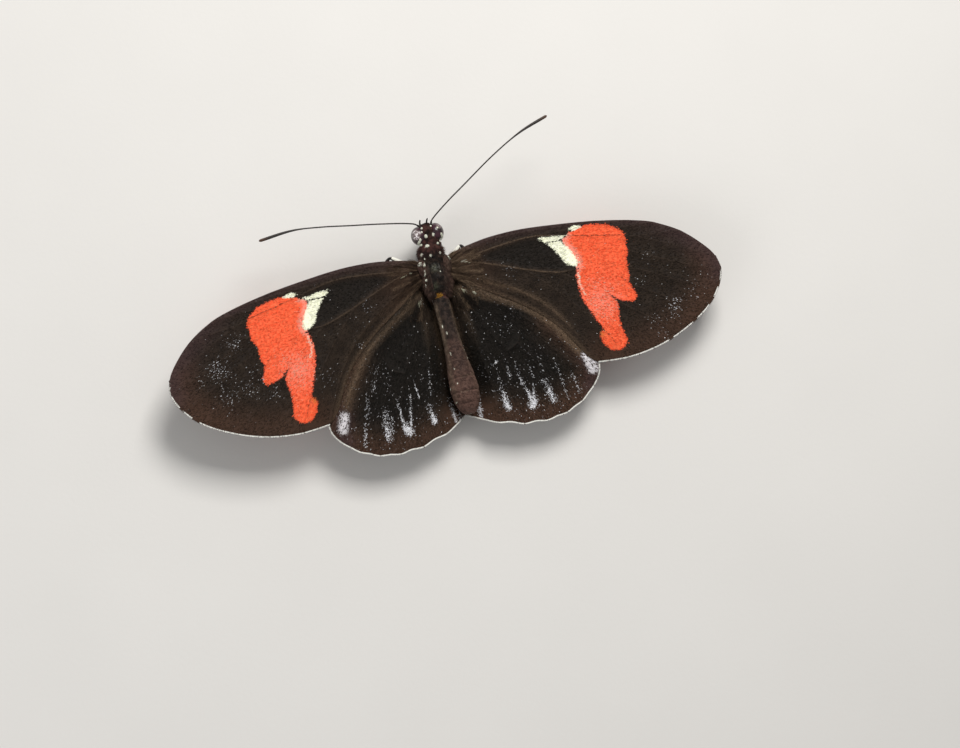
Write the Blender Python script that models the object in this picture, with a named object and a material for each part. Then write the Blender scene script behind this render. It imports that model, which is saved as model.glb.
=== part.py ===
"""A postman butterfly resting with its wings spread flat, life size, as a still museum model.

All sizes are in millimetres and MM turns them into Blender's metres.
X runs to the butterfly's left, Y to its tail and Z up from the floor that its feet stand on.
Wings are written once, with x measured outward from the body, and set on each side.
"""
import math

import bmesh
import bpy
from mathutils import Matrix, Vector, geometry

MM = 0.001
GAP = 0.3
LEFT = 1
RIGHT = -1

# Body. A station holds y, half width, height above and below the axis, and the axis's x and z.
THORAX_STATIONS = (
    (-1.20, 1.42, 1.35, 1.50, 0.00, 5.55),
    (-0.60, 1.74, 1.66, 1.80, 0.00, 5.58),
    (0.40, 1.95, 1.90, 2.00, 0.00, 5.60),
    (1.50, 1.93, 1.88, 2.00, 0.00, 5.62),
    (2.30, 1.80, 1.62, 1.85, 0.00, 5.64),
    (2.95, 1.58, 1.46, 1.55, 0.00, 5.65),
    (3.55, 1.22, 1.12, 1.22, 0.00, 5.65),
)
THORAX_RINGS = 13
THORAX_SQUARENESS = 2.3

PROTHORAX_STATIONS = (
    (-2.92, 1.28, 0.98, 0.98, -0.14, 5.42),
    (-2.55, 1.42, 1.12, 1.18, -0.12, 5.44),
    (-2.00, 1.50, 1.24, 1.34, -0.08, 5.48),
    (-1.50, 1.46, 1.26, 1.40, -0.04, 5.52),
)
PROTHORAX_RINGS = 6

HEAD_STATIONS = (
    (-6.02, 0.40, 0.42, 0.40, 0.00, 5.36),
    (-5.85, 0.78, 0.78, 0.74, 0.00, 5.36),
    (-5.40, 1.04, 1.06, 1.12, 0.00, 5.38),
    (-4.80, 1.12, 1.16, 1.30, 0.00, 5.38),
    (-4.10, 1.22, 1.08, 1.20, 0.00, 5.38),
    (-3.60, 1.34, 0.98, 1.02, 0.00, 5.40),
    (-3.30, 1.26, 0.90, 0.90, 0.00, 5.40),
)
HEAD_RINGS = 12
HEAD_YAW = math.radians(3.5)
HEAD_SHIFT = Vector((-0.17, 0.0, 0.0))
NECK = Vector((0.0, -3.15, 5.41))

ABDOMEN_START = 3.85
ABDOMEN_END = 19.25
ABDOMEN_STATIONS = (
    (3.85, 1.14, 1.06, 1.14, 0.00, 5.66),
    (5.00, 1.16, 1.08, 1.14, 0.00, 5.68),
    (8.00, 1.16, 1.10, 1.14, -0.10, 5.68),
    (10.00, 1.28, 1.20, 1.25, -0.22, 5.62),
    (12.00, 1.46, 1.36, 1.40, -0.32, 5.54),
    (14.00, 1.78, 1.60, 1.62, -0.40, 5.46),
    (16.00, 1.94, 1.72, 1.74, -0.48, 5.34),
    (17.50, 1.80, 1.62, 1.62, -0.54, 5.16),
    (18.50, 1.40, 1.28, 1.30, -0.58, 4.98),
    (19.00, 0.98, 0.92, 0.96, -0.60, 4.84),
    (19.25, 0.62, 0.56, 0.60, -0.61, 4.76),
)
ABDOMEN_SEGMENT_ENDS = (5.6, 7.9, 10.1, 12.3, 14.4, 16.3, 17.8)
SEGMENT_STEP = 0.07
BODY_SIDES = 20

# Head parts, before the head is turned.
EYE_CENTRE = Vector((1.08, -4.72, 5.38))
EYE_RADII = Vector((1.06, 1.16, 1.24))
EYE_TILT = math.radians(-8.0)
PALP_ROOT = Vector((0.42, -5.05, 4.20))
PALP_TIP = Vector((0.50, -6.62, 5.62))
PALP_RADIUS = 0.31
COIL_CENTRE = Vector((0.0, -4.62, 2.96))
COIL_OUTER_RADIUS = 1.10
COIL_PITCH = 0.84
COIL_TURNS = 1.15
COIL_TUBE_RADIUS = 0.25

# Antennae: x outward, y and z of the points that each passes through, after the head's own turn.
ANTENNA_ROOT = Vector((0.66, -5.52, 6.02))
ANTENNA_LEFT_PATH = (
    (1.60, -6.10, 6.82),
    (5.66, -6.72, 7.85),
    (9.96, -7.21, 8.70),
    (13.73, -7.64, 9.30),
    (17.38, -7.74, 9.65),
    (21.78, -7.36, 9.60),
)
ANTENNA_RIGHT_PATH = (
    (1.00, -6.18, 6.80),
    (3.20, -7.86, 7.60),
    (5.65, -9.48, 8.30),
    (10.22, -12.47, 9.20),
    (14.21, -14.63, 9.75),
    (18.16, -16.07, 9.90),
)
ANTENNA_SHAFT_RADIUS = 0.25
ANTENNA_CLUB_RADIUS = 0.46
ANTENNA_CLUB_SHARE = 0.26
ANTENNA_RINGS = 24

# Legs: hip, knee, ankle and toe, x outward. A walking leg's last stretch lies on the floor.
MIDLEG_LEFT = ((1.15, 0.10, 3.95), (5.15, -2.62, 4.95), (7.75, -0.75, 0.62), (9.55, 1.55, 0.20))
MIDLEG_RIGHT = ((1.15, 0.10, 3.95), (4.15, -2.42, 4.95), (6.65, -0.95, 0.62), (8.60, 1.25, 0.20))
HINDLEG_LEFT = ((1.10, 2.30, 3.90), (4.35, 5.60, 3.72), (5.95, 9.70, 0.62), (6.90, 12.90, 0.20))
HINDLEG_RIGHT = ((1.10, 2.30, 3.90), (4.35, 5.20, 3.72), (6.15, 9.20, 0.62), (7.35, 12.30, 0.20))
FORELEG = ((0.72, -2.10, 4.40), (1.00, -2.75, 3.62), (1.14, -2.80, 3.02), (1.08, -2.05, 2.74), (0.86, -0.80, 2.95))
FORELEG_RADIUS = 0.27
FEMUR_RADIUS = 0.34
TIBIA_RADIUS = 0.26
TARSUS_RADIUS = 0.25
LEG_SIDES = 8

# Wings. The membrane's thickness and the ridge that each main vein raises in it.
MEMBRANE = 0.5
RIDGE_TOP = 0.18
RIDGE_UNDER = 0.08
RIDGE_HALF_WIDTH = 0.36
VEIN_STEP = 2.1
EDGE_STEP = 1.7
SHEET_STEP = 2.4

# A wing's root edge runs along the side of the thorax between these two y.
FOREWING_ROOT = (-0.95, 1.75)
HINDWING_ROOT = (1.15, 3.35)
FOREWING_Z = 6.5
HINDWING_Z = 5.35
WING_RISE = {LEFT: 0.055, RIGHT: 0.01}
WING_DROOP = 0.0004
HINDWING_FALL = 0.03
HINGE = Vector((2.2, 0.8))
SWEEP_BACK = {
    "forewing_left": math.radians(1.5),
    "forewing_right": math.radians(-1.3),
    "hindwing_left": math.radians(1.1),
    "hindwing_right": math.radians(-1.4),
}

# Forewing outline from the front of its root, round the tip, to the back of its root.
FOREWING_COSTA = ((3.1, -1.5), (5.0, -2.0), (8.0, -2.4), (12.0, -2.48), (17.0, -2.05), (22.0, -1.4))
FOREWING_TIP = ((26.5, -0.5), (29.6, 0.45), (32.9, 2.35), (35.35, 4.7), (36.6, 6.6), (36.85, 8.6))
FOREWING_MARGIN = ((35.8, 11.1), (33.5, 13.35), (29.7, 15.4), (26.0, 16.6), (22.2, 17.1), (19.6, 16.95))
FOREWING_BACK = ((18.1, 16.6), (16.9, 15.6), (15.5, 13.2), (13.9, 10.7), (11.8, 8.5), (9.3, 6.5), (6.4, 4.6), (3.8, 2.95))

# Main veins of the forewing. Shared points are named, so that veins meet exactly.
F_RADIUS_FORK = (13.6, -1.35)
F_CELL_TOP = (17.2, -0.95)
F_STALK_FORK = (20.6, -0.2)
F_APEX_FORK = (26.6, 1.55)
F_CELL_UPPER = (17.9, 0.35)
F_CELL_MIDDLE = (18.2, 1.95)
F_CELL_BOTTOM = (18.2, 3.75)
F_CUBITUS_FORK = (11.0, 2.35)
F_CUBITUS_SECOND = (16.6, 3.5)
FOREWING_VEINS = {
    "subcosta": ((2.9, -0.9), (7.0, -1.85), (12.0, -2.0), (17.0, -1.65), (22.0, -1.4)),
    "radius": ((2.9, -0.45), (7.0, -1.1), F_RADIUS_FORK, F_CELL_TOP, F_STALK_FORK, F_APEX_FORK, (36.6, 6.6)),
    "radius_first": (F_RADIUS_FORK, (19.0, -1.1), (26.5, -0.5)),
    "radius_second": (F_STALK_FORK, (25.0, 0.2), (29.6, 0.45)),
    "radius_third": (F_APEX_FORK, (30.0, 2.0), (32.9, 2.35)),
    "cell_end": (F_CELL_TOP, F_CELL_UPPER, F_CELL_MIDDLE, F_CELL_BOTTOM),
    "media_first": (F_CELL_UPPER, (24.0, 2.75), (30.0, 5.6), (36.85, 8.6)),
    "media_second": (F_CELL_MIDDLE, (24.0, 4.9), (30.0, 8.1), (35.8, 11.1)),
    "cubitus": ((2.9, 0.1), (6.5, 0.95), F_CUBITUS_FORK, F_CUBITUS_SECOND, F_CELL_BOTTOM),
    "media_third": (F_CELL_BOTTOM, (22.5, 5.85), (27.5, 9.3), (33.5, 13.35)),
    "cubitus_first": (F_CUBITUS_SECOND, (19.4, 6.0), (22.6, 9.3), (29.7, 15.4)),
    "cubitus_second": (F_CUBITUS_FORK, (14.0, 5.3), (17.6, 9.2), (22.2, 17.1)),
    "anal": ((2.9, 0.85), (6.5, 2.9), (10.4, 5.5), (13.6, 8.6), (16.2, 12.6), (18.1, 16.6)),
}

# Hindwing outline from the front of its root, round the margin, to the back of its root.
HINDWING_COSTA = ((4.0, 1.9), (7.5, 3.6), (11.2, 6.1), (14.4, 9.4), (16.7, 13.0))
HINDWING_MARGIN = (
    (18.2, 16.2), (18.15, 17.6), (17.75, 18.5), (17.0, 19.45), (16.0, 20.3), (15.0, 21.1), (13.8, 21.6),
    (12.6, 22.15), (11.2, 22.3), (9.8, 22.55), (8.3, 22.3), (6.7, 22.3), (5.0, 21.65), (3.3, 21.25), (2.0, 20.45),
)
HINDWING_INNER = ((0.8, 19.4), (0.95, 18.0), (1.15, 15.5), (1.2, 12.0), (1.3, 8.5), (1.6, 5.6))

H_RADIUS_FORK = (4.4, 3.2)
H_CELL_TOP = (8.6, 7.4)
H_CELL_MIDDLE = (9.2, 9.6)
H_CELL_LOWER = (8.4, 11.6)
H_CELL_BOTTOM = (6.9, 12.4)
H_CUBITUS_FORK = (4.6, 8.6)
H_STEM = (2.9, 2.1)
HINDWING_VEINS = {
    "subcosta": (H_STEM, H_RADIUS_FORK, (8.3, 4.9), (12.4, 8.2), (15.6, 12.2), (18.2, 16.2)),
    "radius": (H_RADIUS_FORK, H_CELL_TOP, (12.6, 11.4), (15.8, 14.8), (18.15, 17.6)),
    "cell_end": (H_CELL_TOP, H_CELL_MIDDLE, H_CELL_LOWER, H_CELL_BOTTOM),
    "media_first": (H_CELL_TOP, (11.6, 12.0), (14.6, 15.9), (17.0, 19.45)),
    "media_second": (H_CELL_MIDDLE, (12.0, 14.6), (15.0, 21.1)),
    "media_third": (H_CELL_LOWER, (10.6, 16.0), (12.6, 22.15)),
    "cubitus": (H_STEM, (3.5, 5.4), H_CUBITUS_FORK, H_CELL_BOTTOM),
    "cubitus_first": (H_CELL_BOTTOM, (8.4, 16.6), (9.8, 22.55)),
    "cubitus_second": (H_CUBITUS_FORK, (5.5, 13.0), (6.3, 18.0), (6.7, 22.3)),
    "anal": ((2.6, 3.5), (2.7, 7.0), (3.3, 12.0), (3.9, 17.0), (3.3, 21.25)),
}

# The hindwing slopes down beside the abdomen and passes under it.
GUTTER_SLOPE = 0.7
GUTTER_CLEARANCE = 0.66
GUTTER_SOFTNESS = 0.3


def clear_scene():
    for old in list(bpy.data.objects):
        bpy.data.objects.remove(old, do_unlink=True)


def material(name, color, roughness, metallic=0.0):
    made = bpy.data.materials.new(name)
    made.use_nodes = True
    shader = made.node_tree.nodes["Principled BSDF"]
    shader.inputs["Base Color"].default_value = (*color, 1.0)
    shader.inputs["Roughness"].default_value = roughness
    shader.inputs["Metallic"].default_value = metallic
    made.diffuse_color = (*color, 1.0)
    return made


def spline(points, step, closed=False):
    """Points along a smooth curve through the given ones, which are all kept."""
    points = [Vector(p) for p in points]
    count = len(points)
    spans = count if closed else count - 1
    line = []
    for i in range(spans):
        b = points[i]
        c = points[(i + 1) % count]
        a = points[i - 1] if closed or i > 0 else b * 2.0 - c
        d = points[(i + 2) % count] if closed or i + 2 < count else c * 2.0 - b
        reach = (c - b).length
        tangent_b = (c - a) * (reach / max((c - b).length + (b - a).length, 1e-6))
        tangent_c = (d - b) * (reach / max((d - c).length + (c - b).length, 1e-6))
        parts = max(1, round(reach / step))
        for k in range(parts):
            t = k / parts
            t2 = t * t
            t3 = t2 * t
            line.append(
                b * (2.0 * t3 - 3.0 * t2 + 1.0) + tangent_b * (t3 - 2.0 * t2 + t)
                + c * (-2.0 * t3 + 3.0 * t2) + tangent_c * (t3 - t2)
            )
    if not closed:
        line.append(points[-1])
    return line


def station_at(stations, y):
    """The section at y, eased between the two stations round it."""
    if y <= stations[0][0]:
        return stations[0][1:]
    for low, high in zip(stations, stations[1:]):
        if y <= high[0]:
            share = (y - low[0]) / (high[0] - low[0])
            return tuple(a + (b - a) * share for a, b in zip(low[1:], high[1:]))
    return stations[-1][1:]


def section_point(section, angle, squareness, grow=0.0):
    """A point on a section's rim, counted from its left side, over the top."""
    half_width, above, below, axis_x, axis_z = section
    power = 2.0 / squareness
    across = math.copysign(abs(math.cos(angle)) ** power, math.cos(angle))
    height = math.copysign(abs(math.sin(angle)) ** power, math.sin(angle))
    reach = above if height > 0.0 else below
    return axis_x + (half_width + grow) * across, axis_z + (reach + grow) * height


def thorax_side(y, z):
    """How far the thorax's side stands from the mid plane at this height."""
    half_width, above, below, _, axis_z = station_at(THORAX_STATIONS, y)
    share = (z - axis_z) / (above if z > axis_z else below)
    return half_width * max(0.0, 1.0 - abs(share) ** THORAX_SQUARENESS) ** (1.0 / THORAX_SQUARENESS)


def new_object(name, mesh_data, finish):
    """An object from vertices and faces in millimetres, its faces turned outward."""
    verts, faces = mesh_data
    mesh = bpy.data.meshes.new(name)
    mesh.from_pydata(verts, [], faces)
    builder = bmesh.new()
    builder.from_mesh(mesh)
    bmesh.ops.recalc_face_normals(builder, faces=builder.faces)
    bmesh.ops.triangulate(builder, faces=builder.faces)
    builder.to_mesh(mesh)
    builder.free()
    made = bpy.data.objects.new(name, mesh)
    bpy.context.scene.collection.objects.link(made)
    if finish is not None:
        mesh.materials.append(finish)
    return made


def loft(rows, squareness=2.0, sides=BODY_SIDES, grow=0.0):
    """A closed body through sections that stand across Y. A row is y and a section."""
    verts = []
    for y, section in rows:
        for k in range(sides):
            x, z = section_point(section, 2.0 * math.pi * k / sides, squareness, grow)
            verts.append((x, y, z))
    faces = []
    for i in range(len(rows) - 1):
        for k in range(sides):
            n = (k + 1) % sides
            faces.append((i * sides + k, i * sides + n, (i + 1) * sides + n, (i + 1) * sides + k))
    last = (len(rows) - 1) * sides
    faces.append(tuple(range(sides)))
    faces.append(tuple(last + k for k in range(sides)))
    return verts, faces


def even_rows(stations, count):
    """Rows spread evenly over a body's length."""
    first = stations[0][0]
    last = stations[-1][0]
    rows = []
    for i in range(count):
        y = first + (last - first) * i / (count - 1)
        rows.append((y, station_at(stations, y)))
    return rows


def tube(path, radii, sides, across=None, turn=0.5):
    """A closed tube. Its sections keep level unless a direction across them is given."""
    verts = []
    count = len(path)
    for i, (point, radius) in enumerate(zip(path, radii)):
        before = path[max(i - 1, 0)]
        after = path[min(i + 1, count - 1)]
        along = (after - before).normalized()
        side = across or along.cross(Vector((0.0, 0.0, 1.0))).normalized()
        up = side.cross(along).normalized()
        for k in range(sides):
            angle = 2.0 * math.pi * (k + turn) / sides
            verts.append(point + side * (radius * math.cos(angle)) + up * (radius * math.sin(angle)))
    faces = []
    for i in range(count - 1):
        for k in range(sides):
            n = (k + 1) % sides
            faces.append((i * sides + k, i * sides + n, (i + 1) * sides + n, (i + 1) * sides + k))
    last = (count - 1) * sides
    faces.append(tuple(range(sides)))
    faces.append(tuple(last + k for k in range(sides)))
    return verts, faces


def ellipsoid(centre, radii, tilt, segments, rings):
    """A closed ellipsoid with its poles along X, turned about the vertical."""
    turn = Matrix.Rotation(tilt, 3, "Z")
    verts = [centre + turn @ Vector((-radii.x, 0.0, 0.0))]
    for i in range(1, rings):
        polar = math.pi * i / rings
        for k in range(segments):
            angle = 2.0 * math.pi * k / segments
            spot = Vector((
                -radii.x * math.cos(polar),
                radii.y * math.sin(polar) * math.cos(angle),
                radii.z * math.sin(polar) * math.sin(angle),
            ))
            verts.append(centre + turn @ spot)
    verts.append(centre + turn @ Vector((radii.x, 0.0, 0.0)))
    faces = []
    for k in range(segments):
        n = (k + 1) % segments
        faces.append((0, 1 + n, 1 + k))
        for i in range(rings - 2):
            a = 1 + i * segments
            b = a + segments
            faces.append((a + k, a + n, b + n, b + k))
        end = 1 + (rings - 2) * segments
        faces.append((end + k, end + n, len(verts) - 1))
    return verts, faces


def cut_with(body, cutter_data):
    """Cut a closed shape out of an object, and keep the largest body that is left."""
    cutter = new_object("cutter", cutter_data, None)
    cut = body.modifiers.new("cut", "BOOLEAN")
    cut.operation = "DIFFERENCE"
    cut.solver = "EXACT"
    cut.object = cutter
    bpy.context.view_layer.update()
    shaped = bpy.data.meshes.new_from_object(body.evaluated_get(bpy.context.evaluated_depsgraph_get()))
    body.modifiers.remove(cut)
    finishes = list(body.data.materials)
    body.data = shaped
    shaped.materials.clear()
    for finish in finishes:
        shaped.materials.append(finish)
    bpy.data.objects.remove(cutter, do_unlink=True)
    keep_largest(body.data)


def keep_largest(mesh):
    builder = bmesh.new()
    builder.from_mesh(mesh)
    left = set(builder.faces)
    largest = set()
    while left:
        piece = {left.pop()}
        edge_of_piece = list(piece)
        while edge_of_piece:
            face = edge_of_piece.pop()
            for edge in face.edges:
                for other in edge.link_faces:
                    if other in left:
                        left.discard(other)
                        piece.add(other)
                        edge_of_piece.append(other)
        if len(piece) > len(largest):
            largest = piece
    bmesh.ops.delete(builder, geom=[f for f in builder.faces if f not in largest], context="FACES")
    bmesh.ops.delete(builder, geom=[v for v in builder.verts if not v.link_faces], context="VERTS")
    builder.to_mesh(mesh)
    builder.free()


def nearest_on_line(point, line):
    """The distance from a point to a line of straight runs."""
    best = math.inf
    for a, b in zip(line, line[1:]):
        run = b - a
        share = max(0.0, min(1.0, (point - a).dot(run) / max(run.length_squared, 1e-9)))
        best = min(best, (point - a - run * share).length)
    return best


def is_inside(point, outline):
    inside = False
    for a, b in zip(outline, outline[1:] + outline[:1]):
        if (a.y > point.y) != (b.y > point.y):
            crossing = a.x + (point.y - a.y) * (b.x - a.x) / (b.y - a.y)
            if point.x < crossing:
                inside = not inside
    return inside


def swept(point, angle):
    """A wing point turned about the hinge, toward the tail for a positive angle."""
    offset = Vector(point) - HINGE
    return HINGE + Matrix.Rotation(angle, 2) @ offset


def root_point(y, height):
    """A root corner: clear of the thorax's side by the gap over the membrane's thickness."""
    half = MEMBRANE / 2.0
    side = max(thorax_side(y, height + half), thorax_side(y, height - half))
    return Vector((side + GAP, y))


def root_edge(span, height, parts):
    """Points from the back of a root to its front, without the two corners."""
    front, back = span
    return [root_point(back + (front - back) * k / parts, height) for k in range(1, parts)]


def forewing_height(point, side):
    reach = point.x - HINGE.x
    return FOREWING_Z + WING_RISE[side] * reach - WING_DROOP * reach * reach


def hindwing_height(point, side):
    """The hindwing's level, sloping down into the gutter beside and under the abdomen."""
    reach = point.x - HINGE.x
    level = HINDWING_Z + WING_RISE[side] * reach - WING_DROOP * reach * reach
    level -= HINDWING_FALL * max(0.0, point.y - HINDWING_ROOT[1])
    half_width, above, below, axis_x, axis_z = station_at(ABDOMEN_STATIONS, point.y)
    girth = max(half_width, above, below)
    from_axis = point.x - side * axis_x
    lean = math.sqrt(1.0 + GUTTER_SLOPE ** 2)
    slope = axis_z - (girth + GUTTER_CLEARANCE) * lean + GUTTER_SLOPE * from_axis
    return -GUTTER_SOFTNESS * math.log(
        math.exp(-level / GUTTER_SOFTNESS) + math.exp(-slope / GUTTER_SOFTNESS)
    )


def wing_plan(root, height, outline, veins, sweep):
    """A wing's edge and vein lines in plan."""
    corners = [root_point(root[0], height), root_point(root[1], height)]
    through = [corners[0]] + [swept(p, sweep) for p in outline] + [corners[1]]
    edge = spline(through, EDGE_STEP)
    edge += root_edge(root, height, 3)
    lines = [spline([swept(p, sweep) for p in line], VEIN_STEP) for line in veins.values()]
    return edge, lines


def wing_spots(edge, lines, leading):
    """Points on each side of every vein and over the open membrane between them."""
    rim = edge + edge[:1]
    spots = []

    def is_free(spot, from_vein, from_edge, from_spot):
        if not is_inside(spot, edge) or nearest_on_line(spot, rim) < from_edge:
            return False
        if min(nearest_on_line(spot, line) for line in lines) < from_vein:
            return False
        return all((spot - other).length >= from_spot for other in spots)

    for line in lines + [leading]:
        for i, point in enumerate(line):
            along = (line[min(i + 1, len(line) - 1)] - line[max(i - 1, 0)]).normalized()
            across = Vector((-along.y, along.x)) * RIDGE_HALF_WIDTH
            for spot in (point + across, point - across):
                if is_free(spot, RIDGE_HALF_WIDTH * 0.93, RIDGE_HALF_WIDTH * 0.93, 0.5):
                    spots.append(spot)
    rows = int(45.0 / SHEET_STEP)
    for j in range(-rows, rows):
        for i in range(-rows, rows):
            spot = Vector((SHEET_STEP * (i + 0.5 * (j % 2)), SHEET_STEP * 0.87 * j))
            if is_free(spot, RIDGE_HALF_WIDTH + 0.55, 0.8, 1.05):
                spots.append(spot)
    return spots


def wing(name, side, root, height, outline, costa, veins, level, finish):
    """A thin wing with its veins raised in both faces, triangulated alike on both."""
    sweep = SWEEP_BACK[name]
    edge, lines = wing_plan(root, height, outline, veins, sweep)
    leading = spline([root_point(root[0], height)] + [swept(p, sweep) for p in costa], EDGE_STEP)
    spots = wing_spots(edge, lines, leading)
    points = list(edge)
    fixed = [(k, (k + 1) % len(edge)) for k in range(len(edge))]
    for line in lines:
        start = len(points)
        on_edge = nearest_on_line(line[-1], edge + edge[:1]) < 0.05
        kept = line[:-1] if on_edge else line
        points += kept
        fixed += [(start + k, start + k + 1) for k in range(len(kept) - 1)]
    points += spots
    flat, _, faces, _, _, _ = geometry.delaunay_2d_cdt(points, fixed, [], 1, 1e-4)
    verts = []
    for face_side in (1.0, -1.0):
        rise = RIDGE_TOP if face_side > 0.0 else RIDGE_UNDER
        for p in flat:
            away = min(nearest_on_line(p, line) for line in lines + [leading])
            ridge = rise * max(0.0, 1.0 - away / RIDGE_HALF_WIDTH)
            middle = level(p, side)
            verts.append((side * p.x, p.y, middle + face_side * (MEMBRANE / 2.0 + ridge)))
    count = len(flat)
    solid = [tuple(face) for face in faces]
    solid += [tuple(count + v for v in reversed(face)) for face in faces]
    runs = {(face[k], face[(k + 1) % 3]) for face in faces for k in range(3)}
    for a, b in runs:
        if (b, a) not in runs:
            solid.append((b, a, count + a, count + b))
    return new_object(name, (verts, solid), finish)


def walking_leg(name, side, joints, finish):
    """A leg from hip to toe, its foot flattened where it stands."""
    hip, knee, ankle, toe = (Vector((side * p[0], p[1], p[2])) for p in joints)
    path = [
        hip, hip.lerp(knee, 0.2), hip.lerp(knee, 0.45), hip.lerp(knee, 0.75), hip.lerp(knee, 0.94), knee,
        knee.lerp(ankle, 0.08), knee.lerp(ankle, 0.35), knee.lerp(ankle, 0.7), knee.lerp(ankle, 0.94),
    ]
    radii = [FEMUR_RADIUS * k for k in (1.15, 1.1, 1.0, 0.9, 0.8, 0.78)]
    radii += [TIBIA_RADIUS * k for k in (1.0, 1.08, 1.0, 0.98)]
    heel = ankle.lerp(toe, 0.22)
    heel.z = TARSUS_RADIUS * 0.9
    path.append(heel)
    radii.append(TARSUS_RADIUS * 1.05)
    segments = 4
    for k in range(1, segments + 1):
        joint = heel.lerp(toe, k / segments)
        path.append(joint)
        radii.append(TARSUS_RADIUS * (1.0 if k < segments else 0.72))
        if k < segments:
            path.append(heel.lerp(toe, (k + 0.25) / segments))
            radii.append(TARSUS_RADIUS * 1.08)
    verts, faces = tube(path, radii, LEG_SIDES)
    verts = [Vector((v.x, v.y, max(v.z, 0.0))) for v in verts]
    leg = new_object(name, (verts, faces), finish)
    cut_with(leg, loft(even_rows(THORAX_STATIONS, THORAX_RINGS), THORAX_SQUARENESS, grow=GAP))
    return leg


def front_leg(name, side, finish):
    """The reduced first leg, folded under the chest."""
    path = spline([Vector((side * x, y, z)) for x, y, z in FORELEG], 0.4)
    radii = [FORELEG_RADIUS] * (len(path) - 1) + [FORELEG_RADIUS * 0.7]
    leg = new_object(name, tube(path, radii, LEG_SIDES), finish)
    cut_with(leg, loft(even_rows(PROTHORAX_STATIONS, PROTHORAX_RINGS), grow=GAP))
    return leg


def antenna(name, side, route, head_turn, finish):
    """A slender feeler that thickens into a club."""
    root = head_turn @ Vector((side * ANTENNA_ROOT.x, ANTENNA_ROOT.y, ANTENNA_ROOT.z))
    through = [root] + [Vector((side * x, y, z)) for x, y, z in route]
    length = sum((b - a).length for a, b in zip(through, through[1:]))
    path = spline(through, length / ANTENNA_RINGS)
    radii = []
    for k in range(len(path)):
        share = k / (len(path) - 1)
        club = max(0.0, (share - 1.0 + ANTENNA_CLUB_SHARE) / ANTENNA_CLUB_SHARE)
        swell = math.sin(math.pi * min(club, 1.0) ** 1.6 * 0.86)
        radii.append(ANTENNA_SHAFT_RADIUS + (ANTENNA_CLUB_RADIUS - ANTENNA_SHAFT_RADIUS) * swell)
    radii[0] = ANTENNA_SHAFT_RADIUS * 1.5
    radii[1] = ANTENNA_SHAFT_RADIUS * 1.15
    radii[-1] = ANTENNA_SHAFT_RADIUS * 0.8
    feeler = new_object(name, tube(path, radii, LEG_SIDES), finish)
    cut_with(feeler, turned(grown_head(), head_turn))
    return feeler


def turned(mesh_data, turn):
    verts, faces = mesh_data
    return [turn @ Vector(v) for v in verts], faces


def grown_head():
    return loft(even_rows(HEAD_STATIONS, HEAD_RINGS), grow=GAP)


def palp(name, side, head_turn, finish):
    """One of the two upturned palps in front of the face."""
    root = Vector((side * PALP_ROOT.x, PALP_ROOT.y, PALP_ROOT.z))
    tip = Vector((side * PALP_TIP.x, PALP_TIP.y, PALP_TIP.z))
    bow = root.lerp(tip, 0.5) + Vector((0.0, -0.42, -0.38))
    path = spline((root, bow, tip), 0.4)
    radii = [PALP_RADIUS * (0.85 + 0.35 * math.sin(math.pi * min(1.0, 1.25 * k / (len(path) - 1)))) for k in range(len(path))]
    radii[-1] = PALP_RADIUS * 0.55
    made = new_object(name, turned(tube(path, radii, LEG_SIDES), head_turn), finish)
    cut_with(made, turned(grown_head(), head_turn))
    return made


def proboscis(head_turn, finish):
    """The coiled tongue under the head, rooted in it."""
    rings_per_turn = 18
    count = round(COIL_TURNS * rings_per_turn)
    path = [Vector((0.0, -5.0, 4.55)), Vector((0.0, -5.42, 4.12))]
    radii = [COIL_TUBE_RADIUS, COIL_TUBE_RADIUS]
    for k in range(count + 1):
        turns = k / rings_per_turn
        angle = math.radians(128.0) + 2.0 * math.pi * turns
        radius = COIL_OUTER_RADIUS - COIL_PITCH * turns
        path.append(COIL_CENTRE + Vector((0.0, math.cos(angle), math.sin(angle))) * radius)
        radii.append(COIL_TUBE_RADIUS)
    tongue = new_object("proboscis", turned(tube(path, radii, LEG_SIDES, Vector((1.0, 0.0, 0.0))), head_turn), finish)
    cut_with(tongue, turned(grown_head(), head_turn))
    return tongue


def eye(name, side, head_turn, finish):
    centre = Vector((side * EYE_CENTRE.x, EYE_CENTRE.y, EYE_CENTRE.z))
    ball = ellipsoid(centre, EYE_RADII, side * EYE_TILT, 18, 10)
    made = new_object(name, turned(ball, head_turn), finish)
    cut_with(made, turned(grown_head(), head_turn))
    return made


def abdomen(finish):
    """The abdomen, each segment stepping in a little where the next one slides into it."""
    bounds = (ABDOMEN_START,) + ABDOMEN_SEGMENT_ENDS + (ABDOMEN_END,)
    rows = []
    for start, end in zip(bounds, bounds[1:]):
        for share, step in ((0.0, -SEGMENT_STEP), (0.14, 0.0), (0.55, 0.01), (0.97, 0.02)):
            y = start + (end - start) * share
            half_width, above, below, axis_x, axis_z = station_at(ABDOMEN_STATIONS, y)
            rows.append((y, (half_width + step, above + step, below + step, axis_x, axis_z)))
    rows.append((ABDOMEN_END, ABDOMEN_STATIONS[-1][1:]))
    return new_object("abdomen", loft(rows, 2.1), finish)


def build_wings(finishes):
    forewing_outline = FOREWING_COSTA + FOREWING_TIP + FOREWING_MARGIN + FOREWING_BACK
    hindwing_outline = HINDWING_COSTA + HINDWING_MARGIN + HINDWING_INNER
    for label, side in (("left", LEFT), ("right", RIGHT)):
        wing(
            "forewing_" + label, side, FOREWING_ROOT, FOREWING_Z, forewing_outline,
            FOREWING_COSTA + FOREWING_TIP, FOREWING_VEINS, forewing_height, finishes["wing"],
        )
        wing(
            "hindwing_" + label, side, HINDWING_ROOT, HINDWING_Z, hindwing_outline,
            HINDWING_COSTA, HINDWING_VEINS, hindwing_height, finishes["wing"],
        )


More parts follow.
